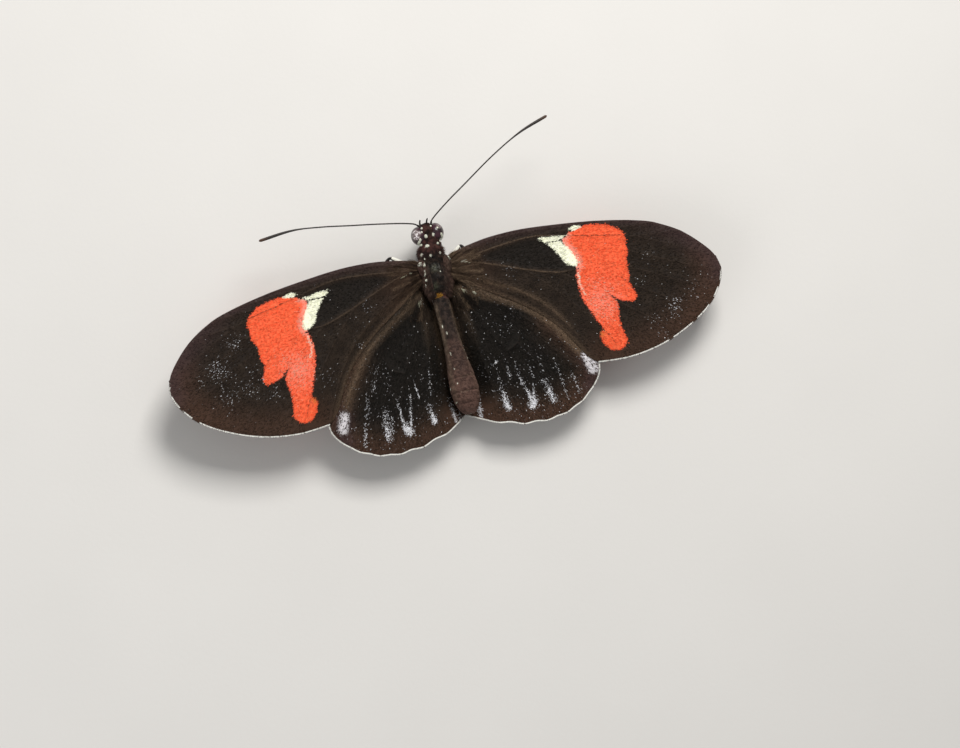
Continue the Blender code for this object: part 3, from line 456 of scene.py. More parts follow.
class Finish:
    """A procedural material whose nodes are made by short calls."""

    def __init__(self, name):
        self.material = bpy.data.materials.new(name)
        self.material.use_nodes = True
        self.tree = self.material.node_tree
        self.shader = self.tree.nodes["Principled BSDF"]

    def node(self, kind, inputs=None, **settings):
        made = self.tree.nodes.new("ShaderNode" + kind)
        for key, value in settings.items():
            setattr(made, key, value)
        for key, value in (inputs or {}).items():
            self.feed(made.inputs[key], value)
        return made

    def feed(self, socket, value):
        if isinstance(value, bpy.types.NodeSocket):
            self.tree.links.new(value, socket)
        else:
            socket.default_value = value

    def set(self, **values):
        for key, value in values.items():
            if isinstance(value, tuple) and len(value) == 3:
                value = (*value, 1.0)
            self.feed(self.shader.inputs[key.replace("_", " ")], value)

    def field(self, name):
        return self.node("Attribute", attribute_name=name).outputs["Fac"]

    def vector_field(self, name):
        return self.node("Attribute", attribute_name=name).outputs["Vector"]

    def place(self):
        return self.node("TexCoord").outputs["Object"]

    def times(self, a, b):
        return self.node("Math", {0: a, 1: b}, operation="MULTIPLY").outputs[0]

    def plus(self, a, b):
        return self.node("Math", {0: a, 1: b}, operation="ADD").outputs[0]

    def minus(self, a, b):
        return self.node("Math", {0: a, 1: b}, operation="SUBTRACT").outputs[0]

    def ease(self, value, low, high, start=0.0, end=1.0):
        limits = {"Value": value, "From Min": low, "From Max": high, "To Min": start, "To Max": end}
        return self.node("MapRange", limits, interpolation_type="SMOOTHSTEP").outputs["Result"]

    def blend(self, share, a, b):
        made = self.node("Mix", {0: share}, data_type="RGBA")
        for place, value in ((6, a), (7, b)):
            if isinstance(value, tuple) and len(value) == 3:
                value = (*value, 1.0)
            self.feed(made.inputs[place], value)
        return made.outputs[2]

    def noise(self, vector, size, detail=2.0, roughness=0.5):
        """Noise whose blotches are about this size in the vector's own units."""
        inputs = {"Vector": vector, "Scale": 1.0 / size, "Detail": detail, "Roughness": roughness}
        return self.node("TexNoise", inputs).outputs["Fac"]

    def cells(self, vector, size, randomness=1.0):
        return self.node("TexVoronoi", {"Vector": vector, "Scale": 1.0 / size, "Randomness": randomness})

    def stretch(self, vector, scale, turn=0.0):
        made = self.node("Mapping", {"Vector": vector, "Scale": scale, "Rotation": (0.0, 0.0, turn)})
        made.vector_type = "TEXTURE"
        return made.outputs["Vector"]

    def overlay(self, colour, tone, rows):
        """Markings over a colour, each from dark to light by the tone."""
        for label, dark, light in rows:
            colour = self.blend(self.field(label), colour, self.blend(tone, dark, light))
        return colour

    def bump(self, height, distance, strength=1.0, normal=None):
        inputs = {"Height": height, "Distance": distance, "Strength": strength}
        if normal is not None:
            inputs["Normal"] = normal
        return self.node("Bump", inputs).outputs["Normal"]


# Each marking's dark and light colour, in the order that they lie over each other.
FLAKE_TONES = (
    ("warm", (0.030, 0.016, 0.010), (0.080, 0.043, 0.026)),
    ("black", (0.0040, 0.0036, 0.0028), (0.013, 0.012, 0.010)),
    # A purplish tone: a sheen painted on the forewing's front and tip, and a purplish tint by the hindwing's
    # silver patch.
    ("purple_and_sheen", (0.040, 0.022, 0.024), (0.085, 0.050, 0.052)),
    ("brown", (0.070, 0.045, 0.028), (0.200, 0.140, 0.092)),
    ("red", (0.86, 0.085, 0.028), (1.0, 0.19, 0.080)),
    ("pale", (0.84, 0.88, 0.62), (1.0, 1.0, 0.88)),
    # The frosted tone also holds painted glints: single scales painted bright.
    ("frost_and_glints", (0.12, 0.11, 0.11), (0.88, 0.88, 0.90)),
)
BODY_TONES = (
    ("wine", (0.005, 0.0028, 0.0030), (0.175, 0.072, 0.062)),
    ("brown", (0.060, 0.031, 0.024), (0.165, 0.093, 0.073)),
    ("tan", (0.10, 0.072, 0.048), (0.25, 0.185, 0.130)),
    # A greenish tone: partly a sheen painted on the thorax's top, partly greenish hair.
    ("green_hair_and_sheen", (0.008, 0.010, 0.007), (0.150, 0.165, 0.105)),
)


def wing_finish():
    """Rows of scales that carry the markings, their edges as ragged as whole scales make them."""
    f = Finish("wing_scales")
    plan = f.vector_field("plan")
    scale = f.cells(f.stretch(plan, (0.16, 0.08, 1.0), math.radians(24.0)), 1.0, 0.75)
    chance = f.node("SeparateColor", {0: scale.outputs["Color"]})
    first, second, third = (chance.outputs[k] for k in range(3))
    blotch = f.noise(plan, 1.6, 4.0, 0.6)
    ragged = f.times(f.minus(first, 0.5), 0.24)
    ragged = f.plus(ragged, f.times(f.minus(f.noise(plan, 0.5, 3.0), 0.5), 0.4))

    ground = f.blend(f.ease(blotch, 0.35, 0.7), (0.0120, 0.0080, 0.0055), (0.028, 0.0190, 0.0130))
    ground = f.blend(f.field("warm"), ground, (0.064, 0.032, 0.020))
    ground = f.blend(f.field("black"), ground, (0.0050, 0.0044, 0.0034))
    # Purplish tone: on the forewing's front and tip it is a painted sheen.
    ground = f.blend(f.field("purple_and_sheen"), ground, (0.060, 0.034, 0.034))
    ground = f.blend(f.times(f.ease(f.field("vein"), 0.15, 0.04), 0.35), ground, (0.045, 0.029, 0.020))
    ground = f.blend(f.field("trunk"), ground, (0.125, 0.085, 0.055))
    ground = f.blend(f.field("brown"), ground, f.blend(first, (0.105, 0.066, 0.040), (0.185, 0.125, 0.080)))
    ground = f.blend(f.times(second, 0.45), ground, (0.018, 0.012, 0.009))

    red = f.blend(f.ease(f.noise(plan, 0.35, 3.0), 0.35, 0.7), (0.93, 0.105, 0.036), (1.0, 0.165, 0.066))
    red = f.blend(f.ease(f.field("band"), 0.40, 0.0, 0.0, 0.35), red, (0.70, 0.050, 0.016))
    red = f.blend(f.times(f.field("blush"), f.plus(first, 0.25)), red, (1.0, 0.32, 0.25))
    red = f.blend(f.times(f.field("nick"), 0.85), red, (0.20, 0.032, 0.013))
    red = f.blend(f.times(f.field("ochre"), f.ease(second, 0.3, 0.6)), red, (0.42, 0.17, 0.03))
    shade = f.ease(f.plus(f.field("band"), ragged), -0.11, 0.11)
    colour = f.blend(shade, ground, red)
    pale = f.ease(f.plus(f.field("cream"), ragged), -0.09, 0.12)
    cream = f.blend(third, (0.88, 0.92, 0.66), (1.0, 1.0, 0.86))
    colour = f.blend(pale, colour, cream)
    streak = f.times(f.field("streak"), f.ease(first, 0.25, 0.5))
    colour = f.blend(streak, colour, (1.0, 0.52, 0.40))
    # Frosted scales and painted glints: a share of the scales painted bluish white.
    frosted = f.ease(f.minus(f.field("frost_and_glints"), first), 0.0, 0.03)
    sparkle = f.plus(f.times(second, 0.6), f.ease(f.field("frost_and_glints"), 0.0, 0.8, 0.15, 0.65))
    colour = f.blend(f.times(frosted, sparkle), colour, (0.74, 0.76, 0.82))
    silver = f.times(f.field("silver"), f.plus(f.times(first, 0.25), 0.75))
    colour = f.blend(silver, colour, f.blend(third, (0.66, 0.63, 0.70), (0.90, 0.88, 0.90)))
    colour = f.blend(f.field("yolk"), colour, (0.72, 0.50, 0.10))
    colour = f.blend(f.field("dot"), colour, (0.62, 0.045, 0.03))
    f.set(Base_Color=colour, Specular_IOR_Level=0.11)
    f.set(Roughness=f.ease(f.field("gloss"), 0.0, 1.0, 0.62, 0.42))
    dome = f.minus(1.0, scale.outputs["Distance"])
    lean = f.times(first, 0.7)
    f.set(Normal=f.bump(f.plus(dome, lean), 0.00002, 0.5))
    return f.material


def flake_finish():
    """Single scales and fringe hairs: their own tone over the wing's colours."""
    f = Finish("wing_flakes")
    tone = f.field("tone")
    ground = f.blend(tone, (0.0090, 0.0060, 0.0040), (0.042, 0.029, 0.020))
    colour = f.overlay(ground, tone, FLAKE_TONES)
    f.set(Base_Color=colour, Roughness=f.ease(f.noise(f.place(), 0.0002, 2.0), 0.3, 0.7, 0.5, 0.66))
    f.set(Specular_IOR_Level=0.11)
    return f.material


def body_finish(name, hair):
    """Black to purplish brown cuticle and its coat, with the same pale and ochre spots, and a greenish sheen
    and one pale highlight painted on the thorax's top.
    """
    f = Finish(name)
    place = f.place()
    tone = f.field("tone")
    grain = f.noise(place, 0.00035, 4.0, 0.6)
    base = f.blend(tone, (0.0040, 0.0030, 0.0026), (0.052, 0.034, 0.026)) if hair else f.blend(
        f.ease(grain, 0.3, 0.7), (0.005, 0.0036, 0.0034), (0.016, 0.011, 0.010)
    )
    base = f.overlay(base, tone, BODY_TONES)
    ragged = f.times(f.minus(f.noise(place, 0.00016, 2.0), 0.5), 0.9)
    ochre = f.ease(f.plus(f.field("ochre"), ragged), 0.35, 0.6)
    base = f.blend(ochre, base, f.blend(tone, (0.30, 0.13, 0.014), (0.58, 0.30, 0.04)))
    pale = f.ease(f.plus(f.field("pale"), f.times(ragged, 0.4)), 0.35, 0.55)
    base = f.blend(pale, base, f.blend(tone, (0.70, 0.73, 0.58), (0.95, 0.96, 0.84)))
    f.set(Base_Color=base, Specular_IOR_Level=0.24)
    if hair:
        f.set(Roughness=f.ease(grain, 0.3, 0.7, 0.46, 0.62))
    else:
        f.set(Roughness=f.ease(f.field("shine"), 0.0, 1.0, 0.58, 0.34))
        pores = f.cells(f.stretch(place, (1.0, 1.6, 1.0)), 0.00011, 1.0)
        relief = f.bump(pores.outputs["Distance"], 0.00002, 0.6)
        f.set(Normal=f.bump(grain, 0.00004, 0.5, relief))
    return f.material


def eye_finish():
    """Hundreds of small lenses, dark purplish brown under a clear gloss, with a pale reflection and a
    highlight painted on where the light meets them.
    """
    f = Finish("eye_lenses")
    place = f.place()
    lenses = f.cells(place, 0.000055, 0.25)
    chance = f.node("SeparateColor", {0: f.cells(place, 0.00019, 1.0).outputs["Color"]}).outputs[0]
    banded = f.noise(f.stretch(place, (3.0, 1.0, 1.0)), 0.0006, 2.0)
    colour = f.blend(f.ease(banded, 0.35, 0.65), (0.010, 0.004, 0.006), (0.046, 0.015, 0.024))
    # A pale mottled patch painted where the light reflects in the eye, and a painted highlight at its core.
    painted_reflection = f.times(f.field("painted_reflection"), f.ease(chance, 0.1, 0.9, 0.2, 1.0))
    colour = f.blend(painted_reflection, colour, (0.46, 0.39, 0.38))
    painted_highlight = f.times(f.ease(f.field("painted_reflection"), 0.55, 0.95), f.ease(chance, 0.45, 0.75))
    colour = f.blend(painted_highlight, colour, (0.80, 0.76, 0.78))
    f.set(Base_Color=colour, Roughness=0.30, Specular_IOR_Level=0.4, Coat_Weight=0.35, Coat_Roughness=0.12)
    dome = f.minus(1.0, lenses.outputs["Distance"])
    f.set(Normal=f.bump(dome, 0.00001, 0.35))
    return f.material


def limb_finish(name, dark, light, pale=(0.86, 0.86, 0.78), gloss=0.4):
    """Satin black chitin with fine scales, white where the field says."""
    f = Finish(name)
    place = f.place()
    grain = f.noise(place, 0.00022, 4.0, 0.6)
    colour = f.blend(f.ease(grain, 0.3, 0.7), dark, light)
    colour = f.blend(f.field("brown"), colour, (0.070, 0.030, 0.013))
    ragged = f.times(f.minus(grain, 0.5), 0.8)
    colour = f.blend(f.ease(f.plus(f.field("pale"), ragged), 0.35, 0.6), colour, pale)
    f.set(Base_Color=colour, Roughness=f.ease(grain, 0.3, 0.7, gloss, gloss + 0.18), Specular_IOR_Level=0.4)
    f.set(Normal=f.bump(f.cells(place, 0.00009).outputs["Distance"], 0.000015, 0.6))
    return f.material


BLADE_FACES = np.array((
    (0, 1, 2), (0, 3, 4), (0, 4, 1), (1, 4, 5), (1, 5, 2),
    (2, 5, 3), (2, 3, 0), (3, 6, 4), (4, 6, 5), (5, 6, 3),
))
# How wide the patch of the unwrap is that each blade gets at its root's place.
PATCH = 0.003
BODY_MARKS = ("pale", "ochre", "brown", "wine", "tan", "green_hair_and_sheen")


def no_marks(count):
    """The body's markings for points that have none."""
    return {label: np.zeros(count) for label in BODY_MARKS}


def blades(roots, along, normal, length, width, lift, curl, thick):
    """Thin closed blades. Each leaves its root at a lift, and bends back down by its curl."""
    count = len(roots)
    along = unit(along - normal * (along * normal).sum(-1, keepdims=True))
    side = np.cross(normal, along)
    length, width, lift, curl = (np.broadcast_to(v, count)[:, None] for v in (length, width, lift, curl))
    verts = []
    patch = []
    for share, spread in ((0.0, 0.62), (0.55, 1.0)):
        middle = roots + along * (length * share * np.cos(lift))
        middle = middle + normal * (length * (share * np.sin(lift) - curl * share * share))
        half = width * spread * 0.5
        verts += [middle - side * half, middle + side * half, middle + normal * (half * thick * 2.0)]
        patch += [(share, -1.0), (share, 1.0), (share, 0.0)]
    end = roots + along * (length * np.cos(lift)) + normal * (length * (np.sin(lift) - curl))
    verts.append(end)
    patch.append((1.0, 0.0))
    points = np.stack(verts, 1).reshape(-1, 3)
    faces = (np.arange(count)[:, None, None] * len(verts) + BLADE_FACES[None]).reshape(-1, 3)
    return points, faces, np.array(patch)



def coat_piece(name, blade_set, root_uv, fields, finish):
    """A joined mesh of blades, each with its root's values and its own patch of the unwrap."""
    points, faces, patch = blade_set
    each = len(patch)
    uv = root_uv[:, None, :] + (patch[None] * (1.0, 0.5) - (0.5, 0.0)) * PATCH
    spread = {label: np.repeat(np.asarray(values, float), each, axis=0) for label, values in fields.items()}
    uv = np.clip(uv.reshape(-1, 2), 0.0, 1.0)
    return add_piece(name, points, faces, finish, fields=spread, uv=uv)


def body_rows():
    """The body's sections from face to tail, drawn in by the depth of the coat."""
    first, last = BODY_STATIONS[0, 0], BODY_STATIONS[-1, 0]
    y = np.linspace(first, last, round((last - first) / BODY_STEP))
    near_ends = np.concatenate((first + np.array((0.01, 0.03, 0.05)), last - np.array((0.02, 0.04))))
    y = np.unique(np.concatenate((y, near_ends)))
    values = [np.interp(y, BODY_STATIONS[:, 0], BODY_STATIONS[:, k]) for k in range(1, 7)]
    inner = (y > first + 0.25) & (y < last - 0.3)
    for k, value in enumerate(values):
        eased = sum(np.interp(y + d, y, value) * w for d, w in ((-0.12, 0.25), (0.0, 0.5), (0.12, 0.25)))
        values[k] = np.where(inner, eased, value)
    depth = COAT_DEPTH * smooth(y, first, first + 0.2) * smooth(y, last, last - 0.2)
    for k in range(3):
        values[k] = values[k] - depth
    return y, values


def body_relief(y, angle):
    """How far the cuticle stands out from the plain section."""
    relief = np.zeros(np.broadcast(y, angle).shape)
    top = np.sin(angle)
    across = np.cos(angle)
    bounds = (3.85,) + SEGMENT_ENDS + (19.25,)
    for start, end in zip(bounds, bounds[1:]):
        share = (y - start) / (end - start)
        within = (share >= 0.0) & (share < 1.0)
        step = -0.020 + 0.026 * smooth(share, 0.0, 0.3) + 0.012 * smooth(share, 0.6, 1.0)
        relief += np.where(within, step * (0.3 + 0.7 * smooth(y, 8.5, 12.0)), 0.0)
    on_abdomen = 0.5 * smooth(y, 4.2, 5.2) * smooth(y, 19.0, 18.0)
    relief -= 0.07 * on_abdomen * (bell(top + 0.12, 0.09) + bell(top + 0.34, 0.07))
    on_thorax = smooth(y, -1.2, -0.7) * smooth(y, 2.3, 1.9) * (top > 0.0)
    relief -= 0.06 * on_thorax * bell(across, 0.05)
    relief -= 0.05 * on_thorax * bell(np.abs(across) - 0.42 - 0.05 * y, 0.05)
    relief -= 0.12 * bell(y - 2.35 - 0.35 * np.abs(across), 0.13) * (top > 0.1)
    relief += 0.10 * bell(y - 2.75, 0.3) * bell(across, 0.45) * (top > 0.0)
    relief -= 0.10 * bell(y - 3.25, 0.10) * (top > 0.0)
    relief += 0.12 * bell(y + 1.95, 0.34) * bell(np.abs(across) - 0.5, 0.3) * (top > 0.0)
    relief -= 0.07 * bell(y + 1.38, 0.10)
    relief -= 0.05 * bell(y + 0.2, 0.12) * (top < 0.0)
    relief -= 0.05 * bell(y - 1.1, 0.12) * (top < 0.0)
    on_head = smooth(y, -5.8, -5.3) * smooth(y, -4.4, -4.8) * (top > 0.0)
    relief -= 0.05 * on_head * bell(across, 0.10)
    relief += 0.12 * bell(y + 4.9, 0.7) * bell(np.abs(across) - 0.5, 0.22) * (top > 0.0)
    return relief


def body_grid():
    """Points of the skin in rows from face to tail and columns from its left side over the top."""
    y, (half, above, below, axis_x, axis_z, squareness) = body_rows()
    angle = 2.0 * math.pi * np.arange(BODY_COLUMNS) / BODY_COLUMNS
    power = 2.0 / squareness[:, None]
    across = np.sign(np.cos(angle)) * np.abs(np.cos(angle)) ** power
    height = np.sign(np.sin(angle)) * np.abs(np.sin(angle)) ** power
    relief = body_relief(y[:, None], angle[None])
    reach = np.where(height > 0.0, above[:, None], below[:, None])
    x = axis_x[:, None] + (half[:, None] + relief) * across
    z = axis_z[:, None] + (reach + relief) * height
    grid = np.stack((x, np.broadcast_to(y[:, None], x.shape), z), -1)
    return turn_head(grid, smooth(y, -2.9, -3.35)[:, None, None])


def turn_head(points, share=1.0):
    """The head's small turn to one side, about the neck."""
    turned = (points - NECK) @ turn_about_z(HEAD_YAW).T + NECK + HEAD_SHIFT
    return points + (turned - points) * share


# Pale spots on head and collar: the middle, and the half sizes across and along.
HEAD_SPOTS = (
    (0.49, -5.40, 0.11, 0.12), (-0.72, -5.47, 0.10, 0.11), (0.61, -4.88, 0.10, 0.11),
    (-1.48, -5.06, 0.13, 0.12), (0.20, -4.28, 0.20, 0.22), (-0.76, -4.32, 0.18, 0.19),
    (0.28, -3.05, 0.27, 0.17), (-1.16, -3.14, 0.15, 0.15), (1.28, -2.08, 0.25, 0.16),
    (0.21, -1.68, 0.18, 0.15), (-1.07, -1.80, 0.14, 0.15), (-1.93, -2.16, 0.12, 0.10),
    (1.03, -1.38, 0.07, 0.13), (1.32, -0.76, 0.12, 0.20), (1.80, -0.93, 0.24, 0.07),
    (-2.02, -1.02, 0.20, 0.11), (1.00, -3.95, 0.15, 0.16), (1.13, -3.76, 0.17, 0.16),
    (1.26, -3.56, 0.20, 0.17), (1.26, -3.38, 0.24, 0.15), (1.00, -3.33, 0.22, 0.13),
    (-1.84, -4.16, 0.16, 0.18), (-1.92, -3.95, 0.17, 0.18), (-1.93, -3.74, 0.17, 0.16),
    (-1.82, -3.56, 0.19, 0.15), (-1.62, -3.44, 0.20, 0.13),
)
# The last thorax spot, a tiny pale dot on the thorax's top, is a painted highlight.
THORAX_SPOTS = (
    (1.39, -0.02, 0.07, 0.16), (1.48, 0.55, 0.07, 0.20), (1.52, 1.41, 0.14, 0.13), (1.66, 2.07, 0.07, 0.26),
    (1.85, 2.35, 0.06, 0.10), (-0.45, 0.73, 0.05, 0.05),
)
OCHRE_SPOTS = ((1.00, 3.22, 0.60, 0.18), (0.50, 3.50, 0.66, 0.26), (0.05, 3.50, 0.40, 0.20))
ABDOMEN_DOTS = (
    (0.70, 7.51, 0.07, 0.30), (0.37, 8.54, 0.09, 0.16), (0.48, 11.22, 0.07, 0.26),
    (0.50, 13.23, 0.09, 0.10), (0.47, 15.20, 0.09, 0.10), (1.01, 17.47, 0.10, 0.11),
    (1.30, 13.70, 0.06, 0.18), (1.36, 15.56, 0.07, 0.22), (-1.55, 11.0, 0.10, 0.12),
    (-1.59, 12.18, 0.06, 0.13),
)
# Pale lines round the back edge of a segment: y, the x it runs between, and the strength.
PALE_ARCS = ((14.45, -1.9, -0.2, 0.9), (16.35, -1.6, 0.3, 1.0))


def spots_at(x, y, spots):
    """How deep a place lies in the nearest of the spots, one at its middle and none outside."""
    depth = np.zeros(len(x))
    for px, py, rx, ry in spots:
        depth = np.maximum(depth, 1.0 - 0.6 * np.sqrt(((x - px) / rx) ** 2 + ((y - py) / ry) ** 2))
    return np.clip(depth, 0.0, 1.0)


def body_marks(points):
    """How strong each marking is at places of the body, for skin and coat alike. A greenish sheen on the
    thorax's top is painted on.
    """
    x, y, z = points.T
    axis_x = np.interp(y, BODY_STATIONS[:, 0], BODY_STATIONS[:, 4])
    axis_z = np.interp(y, BODY_STATIONS[:, 0], BODY_STATIONS[:, 5])
    half = np.interp(y, BODY_STATIONS[:, 0], BODY_STATIONS[:, 1])
    upper = smooth(z - axis_z, -0.3, 0.1)
    lower = 1.0 - upper
    # Pale spots; the tiny one on the thorax's top is a painted highlight.
    pale = spots_at(x, y, HEAD_SPOTS + THORAX_SPOTS + ABDOMEN_DOTS) * upper
    pale = np.maximum(pale, lower * smooth(y, 4.5, 6.0) * 0.55 * bell(z - axis_z + 0.75, 0.35))
    across = np.abs(x - axis_x) / half
    flank = bell((across - 0.80) / 0.16, 1.0) * smooth(y, 4.0, 5.0) * smooth(y, 18.5, 16.0)
    tan = flank * np.where(x > axis_x, 0.70, 0.38) * (1.0 - 0.5 * smooth(y, 9.0, 13.0))
    for place, start, end, strength in PALE_ARCS:
        within = smooth(x, start - 0.2, start + 0.2) * smooth(x, end + 0.2, end - 0.2)
        tan = np.maximum(tan, strength * within * bell(y - place - 0.06 * x, 0.06))
    arch = smooth(y - 0.9 * across**2, 8.9, 9.7)
    brown = 0.12 * smooth(y, 4.0, 8.0) + 0.42 * arch + 0.46 * smooth(y, 12.0, 15.5)
    sides = smooth(np.abs(x), 1.05, 1.6) * smooth(y, -1.6, -0.4) * smooth(y, 3.6, 2.6)
    shoulder = sides * np.where(x < 0.0, 0.9, 0.3)
    forehead = 0.5 * bell(np.hypot(x + 0.4, y + 5.35), 0.45)
    crown = bell(np.hypot((x + 0.25) / 0.9, (y + 4.65) / 0.38), 1.0)
    wine = 0.8 * smooth(y, -1.5, -2.4) * smooth(y, -6.2, -5.6) * (1.0 - 0.85 * crown)
    # A greenish sheen painted on the thorax's top, then greenish hair further back.
    green_hair_and_sheen = 0.8 * bell(np.hypot(x - 0.12, y - 0.05), 0.5)
    green_hair_and_sheen = np.maximum(green_hair_and_sheen, bell(np.hypot(x - 0.75, (y - 2.35) * 1.4), 0.55))
    wine *= 1.0 - 0.6 * smooth(y, -2.6, -2.0) * smooth(np.abs(x + 0.3), 1.0, 0.5)
    tan = np.maximum(tan, 0.30 * shoulder * (x < 0.0))
    return {
        "pale": pale,
        "ochre": spots_at(x, y, OCHRE_SPOTS) * upper,
        "brown": np.max((brown, shoulder, forehead), axis=0),
        "wine": wine + 0.8 * bell(y - 3.55, 0.4) * smooth(x, 0.0, -0.5),
        "tan": upper * tan,
        "green_hair_and_sheen": 0.75 * green_hair_and_sheen * upper,
        "shine": smooth(y, -1.3, -0.8) * smooth(y, 2.6, 2.0) * bell(x, 1.1) * upper,
    }


def build_skin(finish):
    """One skin over head, neck, thorax and abdomen."""
    grid = body_grid()
    rows, columns, _ = grid.shape
    points = grid.reshape(-1, 3)
    order = np.arange(rows * columns).reshape(rows, columns)
    a, b = order[:-1], order[1:]
    quads = np.stack((a, b, np.roll(b, -1, 1), np.roll(a, -1, 1)), -1).reshape(-1, 4)
    faces = [tuple(f) for f in quads]
    faces += [tuple(order[0]), tuple(order[-1][::-1])]
    marks = body_marks(points)
    marks["tone"] = RANDOM.random(len(points))
    add_piece(
        "body_skin", points, faces, finish, ("head", "prothorax", "thorax", "abdomen"), marks
    )
    return grid


def clump_tone(points, size):
    """A tone for every hair, nearly the same for the hairs of one small clump."""
    spread = np.ptp(points, axis=0)[:2] / size
    count = max(8, round(spread.prod() * 1.6))
    centres = points[RANDOM.integers(0, len(points), count)]
    tones = smooth(RANDOM.random(count), 0.1, 0.9)
    result = np.empty(len(points))
    for start in range(0, len(points), 2000):
        block = points[start:start + 2000]
        nearest = ((block[:, None] - centres[None]) ** 2).sum(-1).argmin(1)
        result[start:start + 2000] = tones[nearest]
    return np.clip(0.74 * result + 0.26 * RANDOM.random(len(points)), 0.0, 1.0)


# Each coat: its range of y, its number of hairs, their length, width, lift and curl, and a clump's size.
COAT_REGIONS = (
    ("coat_head", -6.1, -3.2, 9500, 0.25, 0.042, 0.65, 0.25, 0.28),
    ("coat_thorax", -3.2, 3.8, 16000, 0.42, 0.048, 0.45, 0.22, 0.22),
    ("coat_abdomen_front", 3.8, 12.0, 12500, 0.32, 0.075, 0.20, 0.12, 0.20),
    ("coat_abdomen_back", 12.0, 19.3, 14500, 0.30, 0.080, 0.20, 0.12, 0.20),
)


def build_body_coat(grid, finish):
    """Short hair and scales over the whole skin, lying toward the tail."""
    along_y = np.gradient(grid, axis=0)
    around = (np.roll(grid, -1, 1) - np.roll(grid, 1, 1)) * 0.5
    area = np.linalg.norm(np.cross(along_y, around), axis=-1)
    normal = unit(np.cross(around, along_y))
    centre = grid.mean(1, keepdims=True)
    normal *= np.sign(((grid - centre) * normal).sum(-1, keepdims=True))
    columns = grid.shape[1]
    y = grid[..., 1]
    top = np.sin(2.0 * math.pi * np.arange(columns) / columns)[None] + y * 0.0
    bare = 0.6 * smooth(y, -1.0, -0.5) * smooth(y, 2.4, 1.8) * smooth(top, 0.6, 0.9)
    for name, start, end, count, length, width, lift, curl, clump in COAT_REGIONS:
        weight = area * ((y > start) & (y <= end)) * (1.0 - 0.55 * bare)
        weight[-2:] = 0.0
        chosen = RANDOM.choice(weight.size, count, p=(weight / weight.sum()).ravel())
        i, j = np.divmod(chosen, columns)
        slide = RANDOM.random((count, 2)) - 0.5
        roots = grid[i, j] + along_y[i, j] * slide[:, :1] + around[i, j] * slide[:, 1:]
        out = normal[i, j]
        lie = unit(along_y[i, j]) + unit(around[i, j]) * RANDOM.normal(0.0, 0.16, (count, 1))
        under = smooth(-top[i, j], 0.1, 0.7)
        reach = length * RANDOM.uniform(0.7, 1.25, count)
        reach *= 1.0 - 0.5 * bare[i, j]
        if name == "coat_thorax":
            collar = bell(roots[:, 1] + 2.5, 0.8)
            reach *= 1.0 + 0.9 * under + 0.35 * collar
        marks = body_marks(roots)
        marks.pop("shine")
        reach *= 1.0 - 0.35 * (marks["pale"] > 0.4)
        marks["tone"] = clump_tone(roots, clump)
        sideways = smooth(np.abs(out[:, 0]), 0.55, 0.95) * bell(roots[:, 1] + 2.9, 1.1)
        reach *= 1.0 + 0.9 * sideways
        hair_width = width * RANDOM.uniform(0.75, 1.2, count)
        hair_lift = (lift + 0.35 * sideways) * RANDOM.uniform(0.5, 1.4, count)
        made = blades(roots - out * 0.015, lie, out, reach, hair_width, hair_lift, curl, 0.3)
        share = (roots[:, 1] - start) / (end - start)
        uv = np.stack((0.01 + 0.98 * (j + slide[:, 1] + 0.5) / columns, 0.01 + 0.98 * share), -1)
        coat_piece(name, made, uv, marks, finish)


def dome_top(x, y, centre, radii):
    """The height of an upright dome at each place, far below where the place is outside it."""
    left = 1.0 - ((x - centre[0]) / radii[0]) ** 2 - ((y - centre[1]) / radii[1]) ** 2
    return np.where(left > 0.0, centre[2] + radii[2] * np.sqrt(np.maximum(left, 0.0)), -1.0)


# The height over which the skin faces up, and how near a tuft's own skin lies.
UPPER_SKIN = 5.3
TUFT_REACH = 0.16


def body_top(x, y, grid):
    """The place on skin, eye or shoulder shield over each spot, or the nearest where nothing lies below."""
    points = grid.reshape(-1, 3)
    points = points[points[:, 2] > UPPER_SKIN]
    places = np.stack((x, y, np.full(len(x), -1.0)), -1)
    for side in (LEFT, RIGHT):
        eye = turn_head(mirrored(EYE_CENTRE, side))
        for centre, radii in ((eye, EYE_RADII), (mirrored(TEGULA_CENTRE, side), TEGULA_RADII)):
            places[:, 2] = np.maximum(places[:, 2], dome_top(x, y, centre, radii))
    for place in places:
        away = np.hypot(points[:, 0] - place[0], points[:, 1] - place[1])
        near = away < TUFT_REACH
        if near.any():
            place[2] = max(place[2], points[near, 2].max())
        elif place[2] < 0.0:
            place[:] = points[away.argmin()]
    return places


